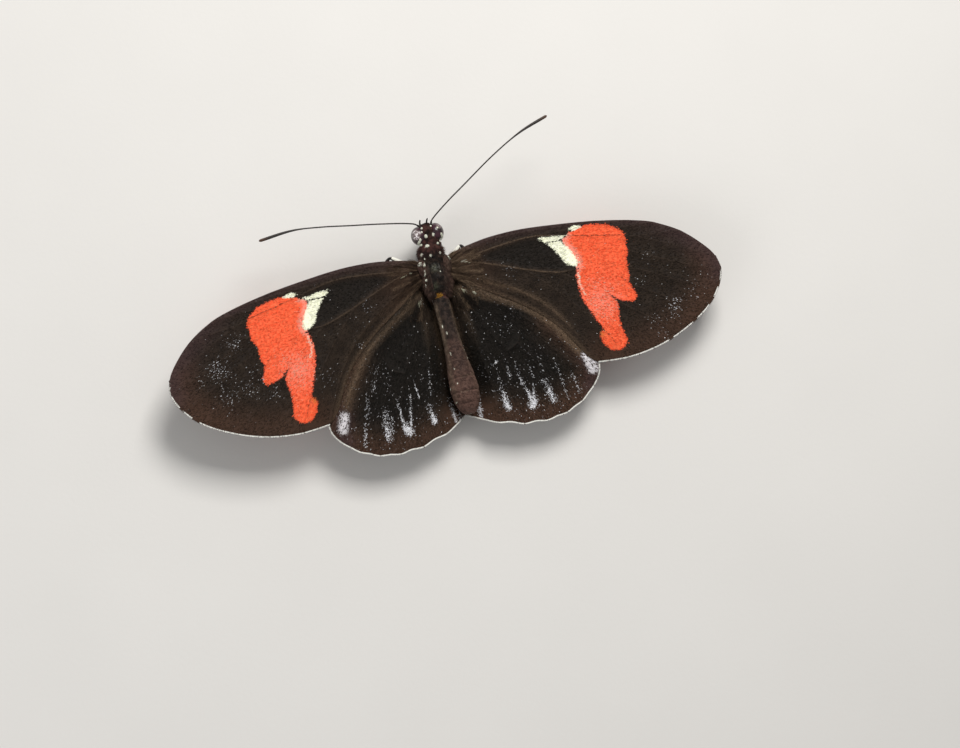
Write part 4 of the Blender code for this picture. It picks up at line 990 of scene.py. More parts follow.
def build_spot_tufts(grid, finish):
    """Small clumps of white scales on head, collar and shoulders, a little above the dark coat; the clump on
    the thorax's top is a painted highlight.
    """
    x, y, size = [], [], []
    for px, py, rx, ry in HEAD_SPOTS + THORAX_SPOTS:
        count = round(60 + 1800 * rx * ry)
        turn = RANDOM.random(count) * 2.0 * math.pi
        reach = np.sqrt(RANDOM.random(count))
        x.append(px + rx * 0.85 * reach * np.cos(turn))
        y.append(py - 0.04 + ry * 0.85 * reach * np.sin(turn))
        size.append(np.full(count, min(0.20, 0.07 + 0.6 * math.sqrt(rx * ry))))
    x, y, size = np.concatenate(x), np.concatenate(y), np.concatenate(size)
    count = len(x)
    roots = body_top(x, y, grid) + (0.0, 0.0, 0.06)
    x, y = roots[:, 0], roots[:, 1]
    axis = np.interp(y, BODY_STATIONS[:, 0], BODY_STATIONS[:, 5])
    out = unit(np.stack((x * 0.8, np.zeros(count), np.maximum(roots[:, 2] - axis, 0.5)), -1))
    lie = np.stack((RANDOM.normal(0.0, 0.25, count), np.ones(count), np.zeros(count)), -1)
    length = size * RANDOM.uniform(0.8, 1.3, count)
    lift = RANDOM.uniform(0.4, 1.0, count)
    made = blades(roots, lie, out, length, 0.055, lift, 0.3, 0.3)
    marks = no_marks(count)
    marks["pale"] += 1.0
    marks["tone"] = RANDOM.uniform(0.5, 1.0, count)
    uv = np.stack((0.5 + x / 6.0, (y + 6.5) / 10.0), -1)
    coat_piece("coat_white_tufts", made, uv, marks, finish)


SHOULDER_HAIRS = 8500


def build_shoulder_hair(grid, finish):
    """Longer soft hair from collar and thorax sides, lying out and back over the wings' roots."""
    number = SHOULDER_HAIRS
    columns = grid.shape[1]
    y = grid[:, 0, 1]
    i = RANDOM.choice(np.flatnonzero((y > -4.0) & (y < 3.4)), number)
    left = RANDOM.random(number) < 0.5
    ruff = smooth(y[i], -2.2, -3.0)
    span = (RANDOM.uniform(0.045, 0.19, number) - 0.055 * ruff) * columns
    j = np.where(left, span, columns // 2 - span).astype(int)
    roots = grid[i, j]
    roots[:, 1] += RANDOM.uniform(-0.04, 0.04, number)
    side = np.where(left, 1.0, -1.0)
    high = smooth(span / columns, 0.08, 0.18)
    out = unit(np.stack((side * (0.8 - 0.4 * high), np.zeros(number), 0.6 + 0.3 * high), -1))
    back = np.interp(roots[:, 1], (-4.0, -2.6, 0.0, 3.4), (0.6, 0.3, 0.8, 2.0)) + 0.8 * high * (1.0 - ruff)
    lie = np.stack((side, back + RANDOM.normal(0.0, 0.3, number), RANDOM.normal(0.0, 0.1, number)), -1)
    reach = RANDOM.uniform(0.6, 1.25, number) * (1.0 - 0.35 * high) * (1.0 - 0.30 * ruff)
    middle = roots + unit(lie) * reach[:, None] * 0.6
    clear = spots_at(middle[:, 0], middle[:, 1], HEAD_SPOTS + THORAX_SPOTS) < 0.3
    lift = RANDOM.uniform(0.15, 0.5, clear.sum())
    curl = RANDOM.uniform(0.15, 0.4, clear.sum())
    made = blades(roots[clear], lie[clear], out[clear], reach[clear], 0.045, lift, curl, 0.3)
    tone = clump_tone(roots, 0.3)
    marks = no_marks(number)
    dim = np.where(left, 0.55, 1.0) * (1.0 - ruff)
    marks["wine"] = np.maximum(0.5 * (tone < 0.4), 0.8 * ruff)
    marks["brown"] = dim * np.clip(1.15 - high + RANDOM.normal(0.0, 0.2, number), 0.0, 1.0)
    marks["tan"] = dim * 0.5 * (RANDOM.random(number) < 0.36) * (1.1 - high)
    marks["tone"] = tone
    marks = {label: values[clear] for label, values in marks.items()}
    uv = np.stack((0.02 + 0.96 * j / columns, 0.1 + 0.8 * (roots[:, 1] + 4.2) / 8.0), -1)[clear]
    coat_piece("coat_shoulders", made, uv, marks, finish)


def swept(points, angle):
    """A wing's plan, turned about its hinge."""
    offset = points - HINGE
    cos, sin = math.cos(angle), math.sin(angle)
    return HINGE + offset @ np.array(((cos, sin), (-sin, cos)))


def forewing_height(points, side):
    """The forewing's height over its plan, before its veins and bends."""
    reach = points[:, 0] - HINGE[0]
    return FOREWING_Z + WING_RISE[side] * reach - WING_DROOP * reach * reach


def hindwing_height(points, side):
    """The hindwing's height: it slopes down along the abdomen's side, where its inner edge lies low."""
    reach = points[:, 0] - HINGE[0]
    level = HINDWING_Z + WING_RISE[side] * reach - WING_DROOP * reach * reach
    level = level - HINDWING_FALL * np.maximum(0.0, points[:, 1] - HINDWING_FALL_START)
    half, above, below, axis_x, axis_z = (
        np.interp(points[:, 1], ABDOMEN_STATIONS[:, 0], ABDOMEN_STATIONS[:, k]) for k in range(1, 6)
    )
    girth = np.maximum(np.maximum(half, above), below)
    lean = math.sqrt(1.0 + GUTTER_SLOPE**2)
    slope = axis_z - (girth + GUTTER_CLEARANCE) * lean + GUTTER_SLOPE * (points[:, 0] - side * axis_x)
    return -GUTTER_SOFTNESS * np.log(np.exp(-level / GUTTER_SOFTNESS) + np.exp(-slope / GUTTER_SOFTNESS))


def frost_share(points, streaks):
    """How many of a place's scales are frosted: thickest at the outer end of a streak."""
    share = np.zeros(len(points))
    for line, width, strength in streaks:
        along = smooth(points[:, 1], line[0][1] - width, line[-1][1] + 0.01)
        share = np.maximum(share, strength * (0.3 + 0.7 * along) * bell(from_line(points, line), width))
    return share


def common_fields(points, wing):
    """Values that both wings carry: how near the veins and the margin a point is."""
    vein = from_lines(points, wing["lines"].values())
    fields = {"vein": np.minimum(vein, 3.0), "rim": np.minimum(from_line(points, wing["margin"]), 9.0)}
    for label in ("band", "cream"):
        fields[label] = np.full(len(points), -2.0)
    for label in ("blush", "streak", "nick", "ochre", "trunk", "silver", "yolk", "dot"):
        fields[label] = np.zeros(len(points))
    return fields


def painted_glint_share(points, spots):
    """The share of scales painted bright as glints, from the places where they gather."""
    share = np.full(len(points), 0.008)
    for x, y, width, strength in spots:
        share = np.maximum(share, strength * bell(np.linalg.norm(points - (x, y), axis=1), width))
    return share


def forewing_fields(points, wing, side):
    """The forewing's markings: red band, cream edge, pale root, a purplish sheen painted along its front and
    tip, and brown rim.
    """
    fields = common_fields(points, wing)
    x, y = points.T
    shift = side * BAND_SHIFT * smooth(y, 9.0, 0.0)
    place = points - np.column_stack((np.zeros(len(x)), shift))
    cream = np.maximum(depth_in(place, np.array(COSTAL_CREAM)), depth_in(place, np.array(CELL_CREAM)))
    crack = (from_line(place, CREAM_CRACK) - 0.09) * 2.0
    fields["band"] = np.clip(depth_in(place, np.array(BAND)), -2.0, 2.0)
    fields["cream"] = np.clip(np.minimum(cream, crack), -2.0, 2.0)
    by_cream = bell(from_line(place, CELL_CREAM[4:12]) - 0.25, 0.35)
    fields["blush"] = np.maximum(by_cream, 0.5 * bell(np.linalg.norm(place - BLUSH_CENTRE, axis=1), 2.3))
    fields["streak"] = bell(from_line(place, PALE_STREAK), 0.17)
    nicks = np.max([bell(from_line(place, line), 0.07) for line in BAND_NICKS], axis=0)
    radius = 0.85 * bell(from_line(points, wing["lines"]["radius"]), 0.06) * smooth(x, 17.2, 18.0)
    fields["nick"] = np.maximum(radius, 0.6 * nicks)
    fields["ochre"] = bell(np.linalg.norm(place - OCHRE_SCALES, axis=1), 0.45)
    base_lines = [wing["lines"][label] for label in ("radius", "cubitus")]
    trunk = np.max([bell(from_line(points, line), 0.075) for line in base_lines], axis=0)
    fields["trunk"] = (0.42 if side == LEFT else 0.8) * trunk * smooth(x, 17.6, 15.0) * smooth(x, 2.6, 4.0)
    # A purplish sheen painted along the front edge and over the tip, where the bent wing reflects the light.
    leading = from_line(points, wing["leading"])
    apex = smooth(x, 24.0, 34.0) * bell(leading, 1.9)
    fields["purple_and_sheen"] = np.clip(np.maximum(0.8 * apex, 0.7 * bell(leading, 0.75)), 0.0, 0.9)
    warm = smooth(fields["rim"], 5.5, 0.6) * smooth(x, 14.0, 20.0) * (0.8 + 0.25 * smooth(x, 28.0, 34.0))
    fields["warm"] = np.clip(np.maximum(warm, 0.45 * smooth(x, 10.0, 4.0)), 0.0, 1.0)
    cell = np.vstack((wing["lines"]["radius"], wing["lines"]["cubitus"][::-1]))
    cell = cell[cell[:, 0] < 18.2]
    fields["black"] = 0.8 * smooth(depth_in(points, cell), 0.1, 0.7) * smooth(x, 4.5, 7.5)
    line = from_line(points, ANAL_FOLD)
    strength = 0.12 if side == LEFT else 0.55
    fold = strength * (0.45 * bell(line, 0.55) + 0.55 * bell(line, 0.17)) * smooth(x, 17.0, 14.0)
    edge = 0.50 * bell(from_line(points, wing["back"]), 0.45) * smooth(x, 18.5, 16.5)
    root = (0.22 if side == LEFT else 0.46) * smooth(x, 6.8, 2.5)
    fields["brown"] = np.clip(np.max((fold, edge, root), axis=0), 0.0, 1.0)
    # On the forewing this layer holds only painted glints: scales painted bright where light would glint.
    fields["frost_and_glints"] = 0.8 * painted_glint_share(points, PAINTED_GLINT_PATCHES["forewing", side])
    fields["gloss"] = 0.3 * fields["purple_and_sheen"]
    return fields


HINDWING_VEIN_EASE = 0.09


def hindwing_fields(points, wing, side):
    """The hindwing's markings: pale strip, silver patch, frosted streaks and brown rim, and painted glints.
    """
    fields = common_fields(points, wing)
    x, y = points.T
    line = from_line(points, STRIP[side])
    broad, fine = (0.26, 0.42) if side == LEFT else (0.66, 0.38)
    strip = broad * smooth(line, 1.0, 0.45) + fine * bell(line, 0.26)
    strip *= 0.75 + 0.3 * smooth(x, 6.0, 13.0)
    anal = 0.25 * bell(from_line(points, wing["lines"]["anal"]), 0.5) * smooth(y, 12.0, 6.0)
    inner = 0.7 * smooth(x, 1.75, 1.0) * smooth(y, 16.0, 13.0)
    root = 0.45 * smooth(np.hypot(x - 1.6, y - 2.6), 2.6, 0.8)
    silver = smooth(from_line(points, SILVER[side]), 1.0, 0.15 if side == LEFT else 0.4)
    fields["silver"] = silver
    fields["brown"] = np.clip(np.max((strip, anal, inner, root), axis=0) - silver, 0.0, 1.0)
    purple_and_sheen = 0.75 * bell(from_line(points, SILVER[side] + ((16.4, 19.2),)), 1.1)
    fields["purple_and_sheen"] = np.clip(purple_and_sheen * (1.0 - silver), 0.0, 1.0)
    fields["warm"] = (0.9 if side == LEFT else 1.0) * smooth(fields["rim"], 4.0, 0.6)
    fields["black"] = smooth(fields["rim"], 2.6, 5.5) * smooth(x, 1.4, 2.6)
    # Frosted streaks, and painted glints over them and thinly over the whole wing.
    frost_and_glints = np.maximum(frost_share(points, FROST[side]), painted_glint_share(points, PAINTED_GLINT_PATCHES["hindwing", side]))
    fields["frost_and_glints"] = np.clip(1.3 * frost_and_glints + 0.015 * smooth(y, 10.0, 15.0), 0.0, 1.0)
    fields["vein"] = fields["vein"] + HINDWING_VEIN_EASE
    fields["gloss"] = np.clip(0.5 * strip + silver, 0.0, 1.0)
    return fields


def drawn_in(points, centre, inset):
    """Points moved a little toward a wing's middle, to leave room for its fringe."""
    points = np.array(points, float)
    return [tuple(p) for p in points + unit(np.array(centre) - points) * inset]


def plan_of(root, root_back, costa, margin, back, veins, centre):
    """A wing's outline and veins in plan."""
    inner = drawn_in(margin, centre, FRINGE_INSET)
    through = root + costa + tuple(inner) + back + root_back
    outline = even_line(spline(through, 0.1), RIM_STEP)
    lines = {label: even_line(spline(line, 0.1), 0.2) for label, line in veins.items()}
    leading = even_line(spline(root[1:] + costa, 0.1), RIM_STEP)
    edge = even_line(spline(costa[-2:] + tuple(inner) + back[:1], 0.1), FRINGE_STEP)
    trailing = even_line(spline(back + root_back[:1], 0.1), RIM_STEP)
    return {"outline": outline, "lines": lines, "leading": leading, "margin": edge, "back": trailing}


def plan_sheet(wing):
    """Flat triangles that fill a wing, finest along its veins."""
    outline = wing["outline"]
    rows = []
    for line in wing["lines"].values():
        along = unit(np.gradient(line, axis=0))
        across = np.stack((-along[:, 1], along[:, 0]), -1)
        rows += [line + across * offset for offset in VEIN_ROWS]
    near_veins = np.vstack(rows)
    _, first = np.unique(np.round(near_veins / 0.11).astype(int), axis=0, return_index=True)
    near_veins = near_veins[first]
    low, high = outline.min(0), outline.max(0)
    columns = np.arange(low[0], high[0], SHEET_STEP)
    lines = np.arange(low[1], high[1], SHEET_STEP * 0.87)
    field = np.array([(x + 0.5 * SHEET_STEP * (k % 2), y) for k, y in enumerate(lines) for x in columns])
    field = field[from_lines(field, wing["lines"].values()) > VEIN_ROWS[-1] + 0.09]
    spots = np.vstack((near_veins, field))
    spots = spots[is_inside(spots, outline)]
    spots = spots[from_line(spots, np.vstack((outline, outline[:1]))) > 0.1]
    points = [Vector(p) for p in np.vstack((outline, spots))]
    count = len(outline)
    fixed = [(k, (k + 1) % count) for k in range(count)]
    flat, _, faces, _, _, _ = geometry.delaunay_2d_cdt(points, fixed, [], 1, 1e-5)
    return np.array([tuple(p) for p in flat]), np.array([tuple(f) for f in faces])


def wing_surface(kind, side, flat, wing):
    """Heights of a wing's upper and lower face over its plan."""
    level = forewing_height if kind == "forewing" else hindwing_height
    plan = swept(flat, SWEEP[kind + ("_left" if side == LEFT else "_right")])
    reach = np.linalg.norm(flat - HINGE, axis=1)
    stout = np.interp(reach, (0.0, 12.0, 36.0), (1.0, 0.75, 0.4))
    vein = from_lines(flat, wing["lines"].values())
    ridge = 0.085 * stout * np.clip(1.0 - vein / (0.2 * stout + 0.03), 0.0, 1.0) ** 0.8
    ease = HINDWING_VEIN_EASE if kind == "hindwing" else 0.0
    sag = 0.10 * smooth(vein + ease, 0.0, 1.1) * smooth(from_line(flat, wing["margin"]), 0.0, 2.5)
    front = from_line(flat, wing["leading"])
    costa = 0.07 * np.clip(1.0 - front / 0.22, 0.0, 1.0)
    gap = WING_GAP + HINDWING_FALL * np.maximum(0.0, flat[:, 1] - HINDWING_FALL_START)
    gap = gap * smooth(flat[:, 0], 1.4, 3.4)
    if kind == "forewing":
        bend = -0.08 - 0.6 * gap * smooth(from_line(flat, wing["back"]), 3.6, 0.0)
    else:
        bend = 0.06 + 0.4 * gap * smooth(from_line(flat, FOREWING_BACK), 3.2, 0.0)
    middle = level(plan, side) - sag + bend
    half = SHEET_HALF * smooth(np.minimum(from_line(flat, wing["outline"]), 1.0), -0.1, 0.3)
    upper = middle + half + ridge + costa
    lower = middle - half - 0.6 * ridge - costa
    return np.stack((side * plan[:, 0], plan[:, 1]), -1), upper, lower


def build_wing(kind, wing, flat, faces, finish):
    """A wing's closed sheet on each side: an upper face, a lower face and the rim between them."""
    count = len(flat)
    runs = np.vstack((faces[:, [0, 1]], faces[:, [1, 2]], faces[:, [2, 0]]))
    known = {(a, b) for a, b in runs.tolist()}
    open_runs = [(a, b) for a, b in known if (b, a) not in known]
    rim = np.array([(b, a, count + a, count + b) for a, b in sorted(open_runs)])
    for label, side in SIDES:
        fields = wing["fields"](flat, wing, side)
        plan, upper, lower = wing_surface(kind, side, flat, wing)
        points = np.vstack((np.column_stack((plan, upper)), np.column_stack((plan, lower))))
        shell = [tuple(f) for f in faces] + [tuple(count + f[::-1]) for f in faces] + [tuple(f) for f in rim]
        if side == RIGHT:
            shell = [f[::-1] for f in shell]
        under = {key: value.copy() for key, value in fields.items()}
        under["frost_and_glints"][:] = 0.02
        under["silver"][:] = 0.02
        under["brown"] = np.maximum(under["brown"], 0.35)
        if kind == "hindwing":
            under["yolk"] = smooth(bell(from_line(flat, UNDER_STREAK), 0.35), 0.3, 0.6)
            dots = [bell(np.linalg.norm(flat - spot, axis=1), 0.45) for spot in UNDER_DOTS]
            under["dot"] = smooth(np.max(dots, axis=0), 0.3, 0.6)
        both = {key: np.concatenate((fields[key], under[key])) for key in fields}
        level = np.repeat((0.0, 7.0), count)
        both["plan"] = np.column_stack((np.vstack((flat, flat)), level))
        name = kind + "_" + label
        add_piece("sheet_" + name, points, shell, finish, (name,), both)


def scale_shares(kind, roots, wing, side):
    """The wing's colours at each loose scale's root, each scale wholly one colour."""
    fields = wing["fields"](roots, wing, side)
    count = len(roots)
    jitter = RANDOM.normal(0.0, 0.08, count)
    red = (fields["band"] + jitter > 0.0) * np.where(fields["nick"] < 0.30, 1.0, 0.45)
    # Frosted scales, and scales painted bright as glints.
    frost_and_glints = (fields["frost_and_glints"] > RANDOM.random(count)) * (1.0 if kind == "hindwing" else 0.65)
    frost_and_glints *= 1.0 - 0.6 * (fields["band"] > 0.0)
    silver = (0.8 * fields["silver"] > RANDOM.random(count)) * 0.95
    pale = (fields["cream"] + jitter > 0.0) * 1.0
    pink = 0.25 * red * (fields["blush"] > RANDOM.random(count) * 0.8)
    pink = np.maximum(pink, 0.6 * (fields["streak"] > 0.2 + 0.6 * RANDOM.random(count)))
    shares = {"red": red, "pale": np.maximum(pale, pink), "frost_and_glints": np.maximum(frost_and_glints, silver)}
    for label in ("purple_and_sheen", "warm", "black"):
        shares[label] = fields[label] * 0.9
    shares["brown"] = np.clip(np.maximum(fields["brown"], 0.7 * fields["trunk"]), 0.0, 1.0) * 0.95
    tone = RANDOM.random(count)
    tone = np.where(frost_and_glints > 0.0, tone ** (1.6 - 1.2 * np.clip(fields["frost_and_glints"], 0.0, 1.0)), tone)
    shares["tone"] = np.where(silver > 0.0, 0.6 + 0.4 * tone, tone)
    return shares


def wing_patch(roots, flat):
    """Where each root lies on the wing's unwrap, which is its plan."""
    return (roots - flat.min(0)) / (np.ptp(flat, axis=0).max() * 1.02) + 0.01


def on_wing(flat, heights, name, side):
    """Places in a wing's plan, swept and set on its side of the body at these heights."""
    plan = swept(flat, SWEEP[name])
    return np.column_stack((side * plan[:, 0], plan[:, 1], heights))


def flake_shape(points, along, normal, frosted):
    """Blades for loose scales: the frosted ones and those painted as glints are smaller and stand higher."""
    number = len(points)
    lift = np.where(frosted, 0.20, 0.10) * RANDOM.uniform(0.4, 1.6, number)
    length = np.where(frosted, RANDOM.uniform(0.12, 0.20, number), RANDOM.uniform(0.20, 0.30, number))
    width = np.where(frosted, RANDOM.uniform(0.06, 0.09, number), RANDOM.uniform(0.09, 0.14, number))
    return blades(points, along, normal, length, width, lift, 0.03, 0.08)


FLAKES = {"forewing": 14000, "hindwing": 12500}
UNDER_SHARE = 0.3


def build_flakes(kind, wing, flat, faces, finish):
    """Loose scales standing a little off the sheet, laid from the body outward."""
    corners = flat[faces]
    edges = corners[:, 1:] - corners[:, :1]
    area = 0.5 * np.abs(edges[:, 0, 0] * edges[:, 1, 1] - edges[:, 1, 0] * edges[:, 0, 1])
    level = forewing_height if kind == "forewing" else hindwing_height
    for label, side in SIDES:
        _, upper, lower = wing_surface(kind, side, flat, wing)
        name = kind + "_" + label
        for face_name, heights, up, share in (("top", upper, 1.0, 1.0), ("under", lower, -1.0, UNDER_SHARE)):
            number = round(FLAKES[kind] * share)
            chosen = RANDOM.choice(len(faces), number, p=area / area.sum())
            mix = RANDOM.dirichlet((1.0, 1.0, 1.0), number)
            roots = (corners[chosen] * mix[..., None]).sum(1)
            z = (heights[faces[chosen]] * mix).sum(1)
            outward = unit(unit(roots - HINGE) + RANDOM.normal(0.0, 0.12, (number, 2)))
            kept = depth_in(roots + outward * 0.3, wing["outline"]) > 0.08
            roots, z, outward = roots[kept], z[kept], outward[kept]
            shares = scale_shares(kind, roots, wing, side)
            if up < 0.0:
                shares["frost_and_glints"] *= 0.0
            else:
                # Scales at these places are painted bright as glints.
                spots = np.array(PAINTED_GLINTS[kind, side])
                nearest = np.linalg.norm(roots[:, None] - spots[None], axis=-1).argmin(0)
                shares["frost_and_glints"][nearest] = 1.0
                shares["tone"][nearest] = 1.0
            start = level(swept(roots, SWEEP[name]), side)
            end = level(swept(roots + outward * 0.1, SWEEP[name]), side)
            along = on_wing(roots + outward * 0.1, end, name, side) - on_wing(roots, start, name, side)
            normal = np.tile((0.0, 0.0, up), (len(roots), 1))
            made = flake_shape(on_wing(roots, z, name, side), along, normal, shares["frost_and_glints"] > 0.5)
            uv = wing_patch(roots, flat)
            coat_piece(f"scales_{face_name}_{name}", made, uv, shares, finish)


def build_fringe(kind, wing, flat, finish):
    """Two close rows of hair-like scales past the margin, white along the runs that WHITE_EDGE names."""
    margin = wing["margin"]
    along = unit(np.gradient(margin, axis=0)).repeat(2, 0)
    roots = np.repeat(margin, 2, axis=0) + RANDOM.normal(0.0, 0.01, (2 * len(margin), 2))
    outward = np.stack((along[:, 1], -along[:, 0]), -1)
    inside = depth_in(roots + outward * 0.3, wing["outline"]) > 0.0
    outward = np.where(inside[:, None], -outward, outward)
    number = len(roots)
    ends = np.array([line[-1] for line in wing["lines"].values()])
    from_end = np.linalg.norm(roots[:, None] - ends[None], axis=-1).min(1)
    for label, side in SIDES:
        name = kind + "_" + label
        if kind == "forewing":
            chance = 0.62 * smooth(from_lines(roots, WHITE_EDGE[kind, side]), 0.75, 0.30)
        else:
            chance = 0.50 + 0.38 * smooth(from_end, 0.1, 0.35)
        white = (chance > RANDOM.random(number)) * 1.0
        _, upper, lower = wing_surface(kind, side, roots, wing)
        spread = outward + along * RANDOM.normal(0.0, 0.16, (number, 1))
        height = (upper + lower) * 0.5 + np.where(white > 0.5, 0.05, 0.02)
        points = on_wing(roots - outward * 0.10, height, name, side)
        direction = on_wing(roots + spread * 0.1, 0.0 * white, name, side) - points
        direction[:, 2] = RANDOM.normal(0.0, 0.012, number)
        shares = {label: np.zeros(number) for label in ("red", "purple_and_sheen", "brown", "black")}
        shares.update({"pale": 0.8 * white, "frost_and_glints": 0.6 * white, "warm": np.full(number, 0.8)})
        shares["tone"] = np.maximum(white * 0.8, RANDOM.random(number))
        up = np.tile((0.0, 0.0, 1.0), (number, 1))
        made = blades(points, direction, up, RANDOM.uniform(0.20, 0.25, number), 0.06, 0.02, 0.0, 0.15)
        coat_piece("fringe_" + name, made, wing_patch(roots, flat), shares, finish)


# For each wing's root hair: how many, the ranges of x and y they grow in, and where they fan out from.
ROOT_HAIR = {
    "forewing": (1700, (1.7, 6.0), (-1.3, 3.2), (0.2, 0.2)),
    "hindwing": (1100, (1.4, 4.5), (1.8, 6.0), (1.2, -0.5)),
}


def build_root_hair(kind, wing, flat, finish):
    """Long fine hair over a wing's root, fanning out from a place near the body."""
    number, (x_low, x_high), (y_low, y_high), fan = ROOT_HAIR[kind]
    for label, side in SIDES:
        name = kind + "_" + label
        x = x_low + (x_high - x_low) * RANDOM.random(number) ** 1.5
        roots = np.column_stack((x, RANDOM.uniform(y_low, y_high, number)))
        roots = roots[depth_in(roots, wing["outline"]) > 0.05]
        count = len(roots)
        _, upper, _ = wing_surface(kind, side, roots, wing)
        outward = unit(unit(roots - fan) + RANDOM.normal(0.0, 0.10, (count, 2)))
        points = on_wing(roots, upper + 0.01, name, side)
        along = on_wing(roots + outward * 0.1, upper + 0.01, name, side) - points
        fade = smooth(roots[:, 0], x_high, x_low)
        length = RANDOM.uniform(0.6, 1.3, count) * (0.5 + 0.5 * fade)
        streak = bell(from_line(roots, ROOT_STREAK[kind, side]), 0.07)
        turn = np.arctan2(roots[:, 1] - fan[1], roots[:, 0] - fan[0])
        lock = np.sin(turn * 39.0 + roots[:, 0] * 0.9) + np.sin(turn * 17.0 - roots[:, 0] * 0.5)
        lock = lock + RANDOM.normal(0.0, 0.6, count)
        middle, spread = (0.12, 0.18) if side == LEFT else (0.58, 0.26)
        if kind == "hindwing":
            middle = 0.10 + 0.45 * bell(from_line(roots, STRIP[side]), 0.5)
        shares = {label: np.zeros(count) for label in ("red", "frost_and_glints", "purple_and_sheen")}
        shares["pale"] = (streak > 0.45) * 0.75
        shares["warm"] = np.full(count, 0.5)
        shares["black"] = np.full(count, 0.6 if kind == "hindwing" else 0.0)
        shares["brown"] = np.clip(middle + spread * lock, 0.0, 1.0)
        shares["tone"] = np.clip(0.42 + 0.26 * lock, 0.0, 1.0)
        width = RANDOM.uniform(0.025, 0.045, count)
        lift = RANDOM.uniform(0.08, 0.25, count)
        curl = RANDOM.uniform(0.08, 0.2, count)
        up = np.tile((0.0, 0.0, 1.0), (count, 1))
        made = blades(points, along, up, length, width, lift, curl, 0.3)
        coat_piece("root_hair_" + name, made, wing_patch(roots, flat), shares, finish)


def tube(path, radii, sides, across=None):
    """A closed round tube along a path; gives its points, faces, and each point's angle from the top."""
    path = np.asarray(path, float)
    along = unit(np.gradient(path, axis=0))
    if across is None:
        side = unit(np.cross(along, (0.0, 0.0, 1.0)))
    else:
        side = np.tile(np.array(across, float), (len(path), 1))
    up = unit(np.cross(side, along))
    side = np.cross(along, up)
    angle = 2.0 * math.pi * np.arange(sides) / sides
    radii = np.broadcast_to(np.asarray(radii, float), len(path)) if np.ndim(radii) < 2 else radii
    wide = radii if np.ndim(radii) == 2 else np.stack((radii, radii), -1)
    rings = (
        path[:, None] + side[:, None] * (wide[:, :1, None] * np.sin(angle)[None, :, None])
        + up[:, None] * (wide[:, 1:, None] * np.cos(angle)[None, :, None])
    )
    faces, order = band_faces(len(path), sides)
    faces += [tuple(order[0][::-1]), tuple(order[-1])]
    return rings.reshape(-1, 3), faces, np.tile(angle, len(path))


TUBE_SIDES = 16
ANTENNA_ROOT = np.array((0.66, -5.60, 5.92))
ANTENNA_PATHS = {
    LEFT: (
        (1.60, -6.10, 6.82), (5.66, -6.72, 7.85), (9.96, -7.21, 8.70),
        (13.73, -7.66, 9.30), (17.38, -7.88, 9.65), (21.82, -7.40, 9.60),
    ),
    RIGHT: (
        (1.00, -6.18, 6.80), (3.20, -7.86, 7.60), (5.65, -9.48, 8.30),
        (10.22, -12.47, 9.20), (14.21, -14.63, 9.75), (18.16, -16.07, 9.90),
    ),
}
ANTENNA_JOINTS = 42
ANTENNA_SHAFT = 0.09
ANTENNA_CLUB = 0.195
CLUB_START = 0.72


def build_antennae(finish):
    """Slim jointed antennae that swell to a club near the tip."""
    for label, side in SIDES:
        root = turn_head(mirrored(ANTENNA_ROOT, side))
        path = even_line(spline([root, *mirrored(ANTENNA_PATHS[side], side)], 0.2), 0.06)
        share = np.linspace(0.0, 1.0, len(path))
        club = np.clip((share - CLUB_START) / (1.0 - CLUB_START), 0.0, 1.0)
        radius = ANTENNA_SHAFT + (ANTENNA_CLUB - ANTENNA_SHAFT) * np.sin(math.pi * club**1.3 * 0.66)
        radius += 0.12 * bell(share, 0.008) + 0.06 * bell(share - 0.025, 0.008)
        joint = (share + 1.2 * np.maximum(0.0, share - CLUB_START)) * ANTENNA_JOINTS % 1.0
        radius = radius * (0.90 + 0.12 * np.sin(math.pi * joint) ** 0.5)
        radius *= np.sqrt(np.clip((1.0 - share) * 90.0, 0.05, 1.0))
        points, faces, angle = tube(path, radius, TUBE_SIDES)
        along = np.repeat(share, TUBE_SIDES)
        ring = np.repeat(joint, TUBE_SIDES)
        under = smooth(-np.cos(angle), 0.0, 0.8)
        brown = np.clip(smooth(along, 0.93, 0.99) * 0.8 + under * smooth(along, 0.75, 0.9) * 0.8, 0.0, 1.0)
        pale = 0.7 * smooth(-np.cos(angle), 0.3, 0.8) * (ring < 0.3) * smooth(along, 0.7, 0.1)
        name = "antenna_" + label
        fields = {"brown": brown, "pale": pale}
        add_piece("feeler_" + label, points, faces, finish, (name,), fields)


EYE_CENTRE = np.array((1.12, -4.66, 5.33))
EYE_RADII = np.array((1.04, 1.20, 1.20))
EYE_TILT = math.radians(-8.0)
EYE_SEGMENTS = 72
EYE_RINGS = 40
# The painted reflection on each eye, a pale mottled patch: the way it faces, the cosines where it starts and
# is full, and its strength.
EYE_PAINTED_REFLECTION = {LEFT: ((0.56, -0.06, 0.80), 0.72, 0.93, 0.95), RIGHT: ((-0.42, -0.48, 0.76), 0.90, 0.985, 0.6)}
TEGULA_CENTRE = np.array((1.66, -0.35, 6.74))
TEGULA_RADII = np.array((0.52, 1.05, 0.28))


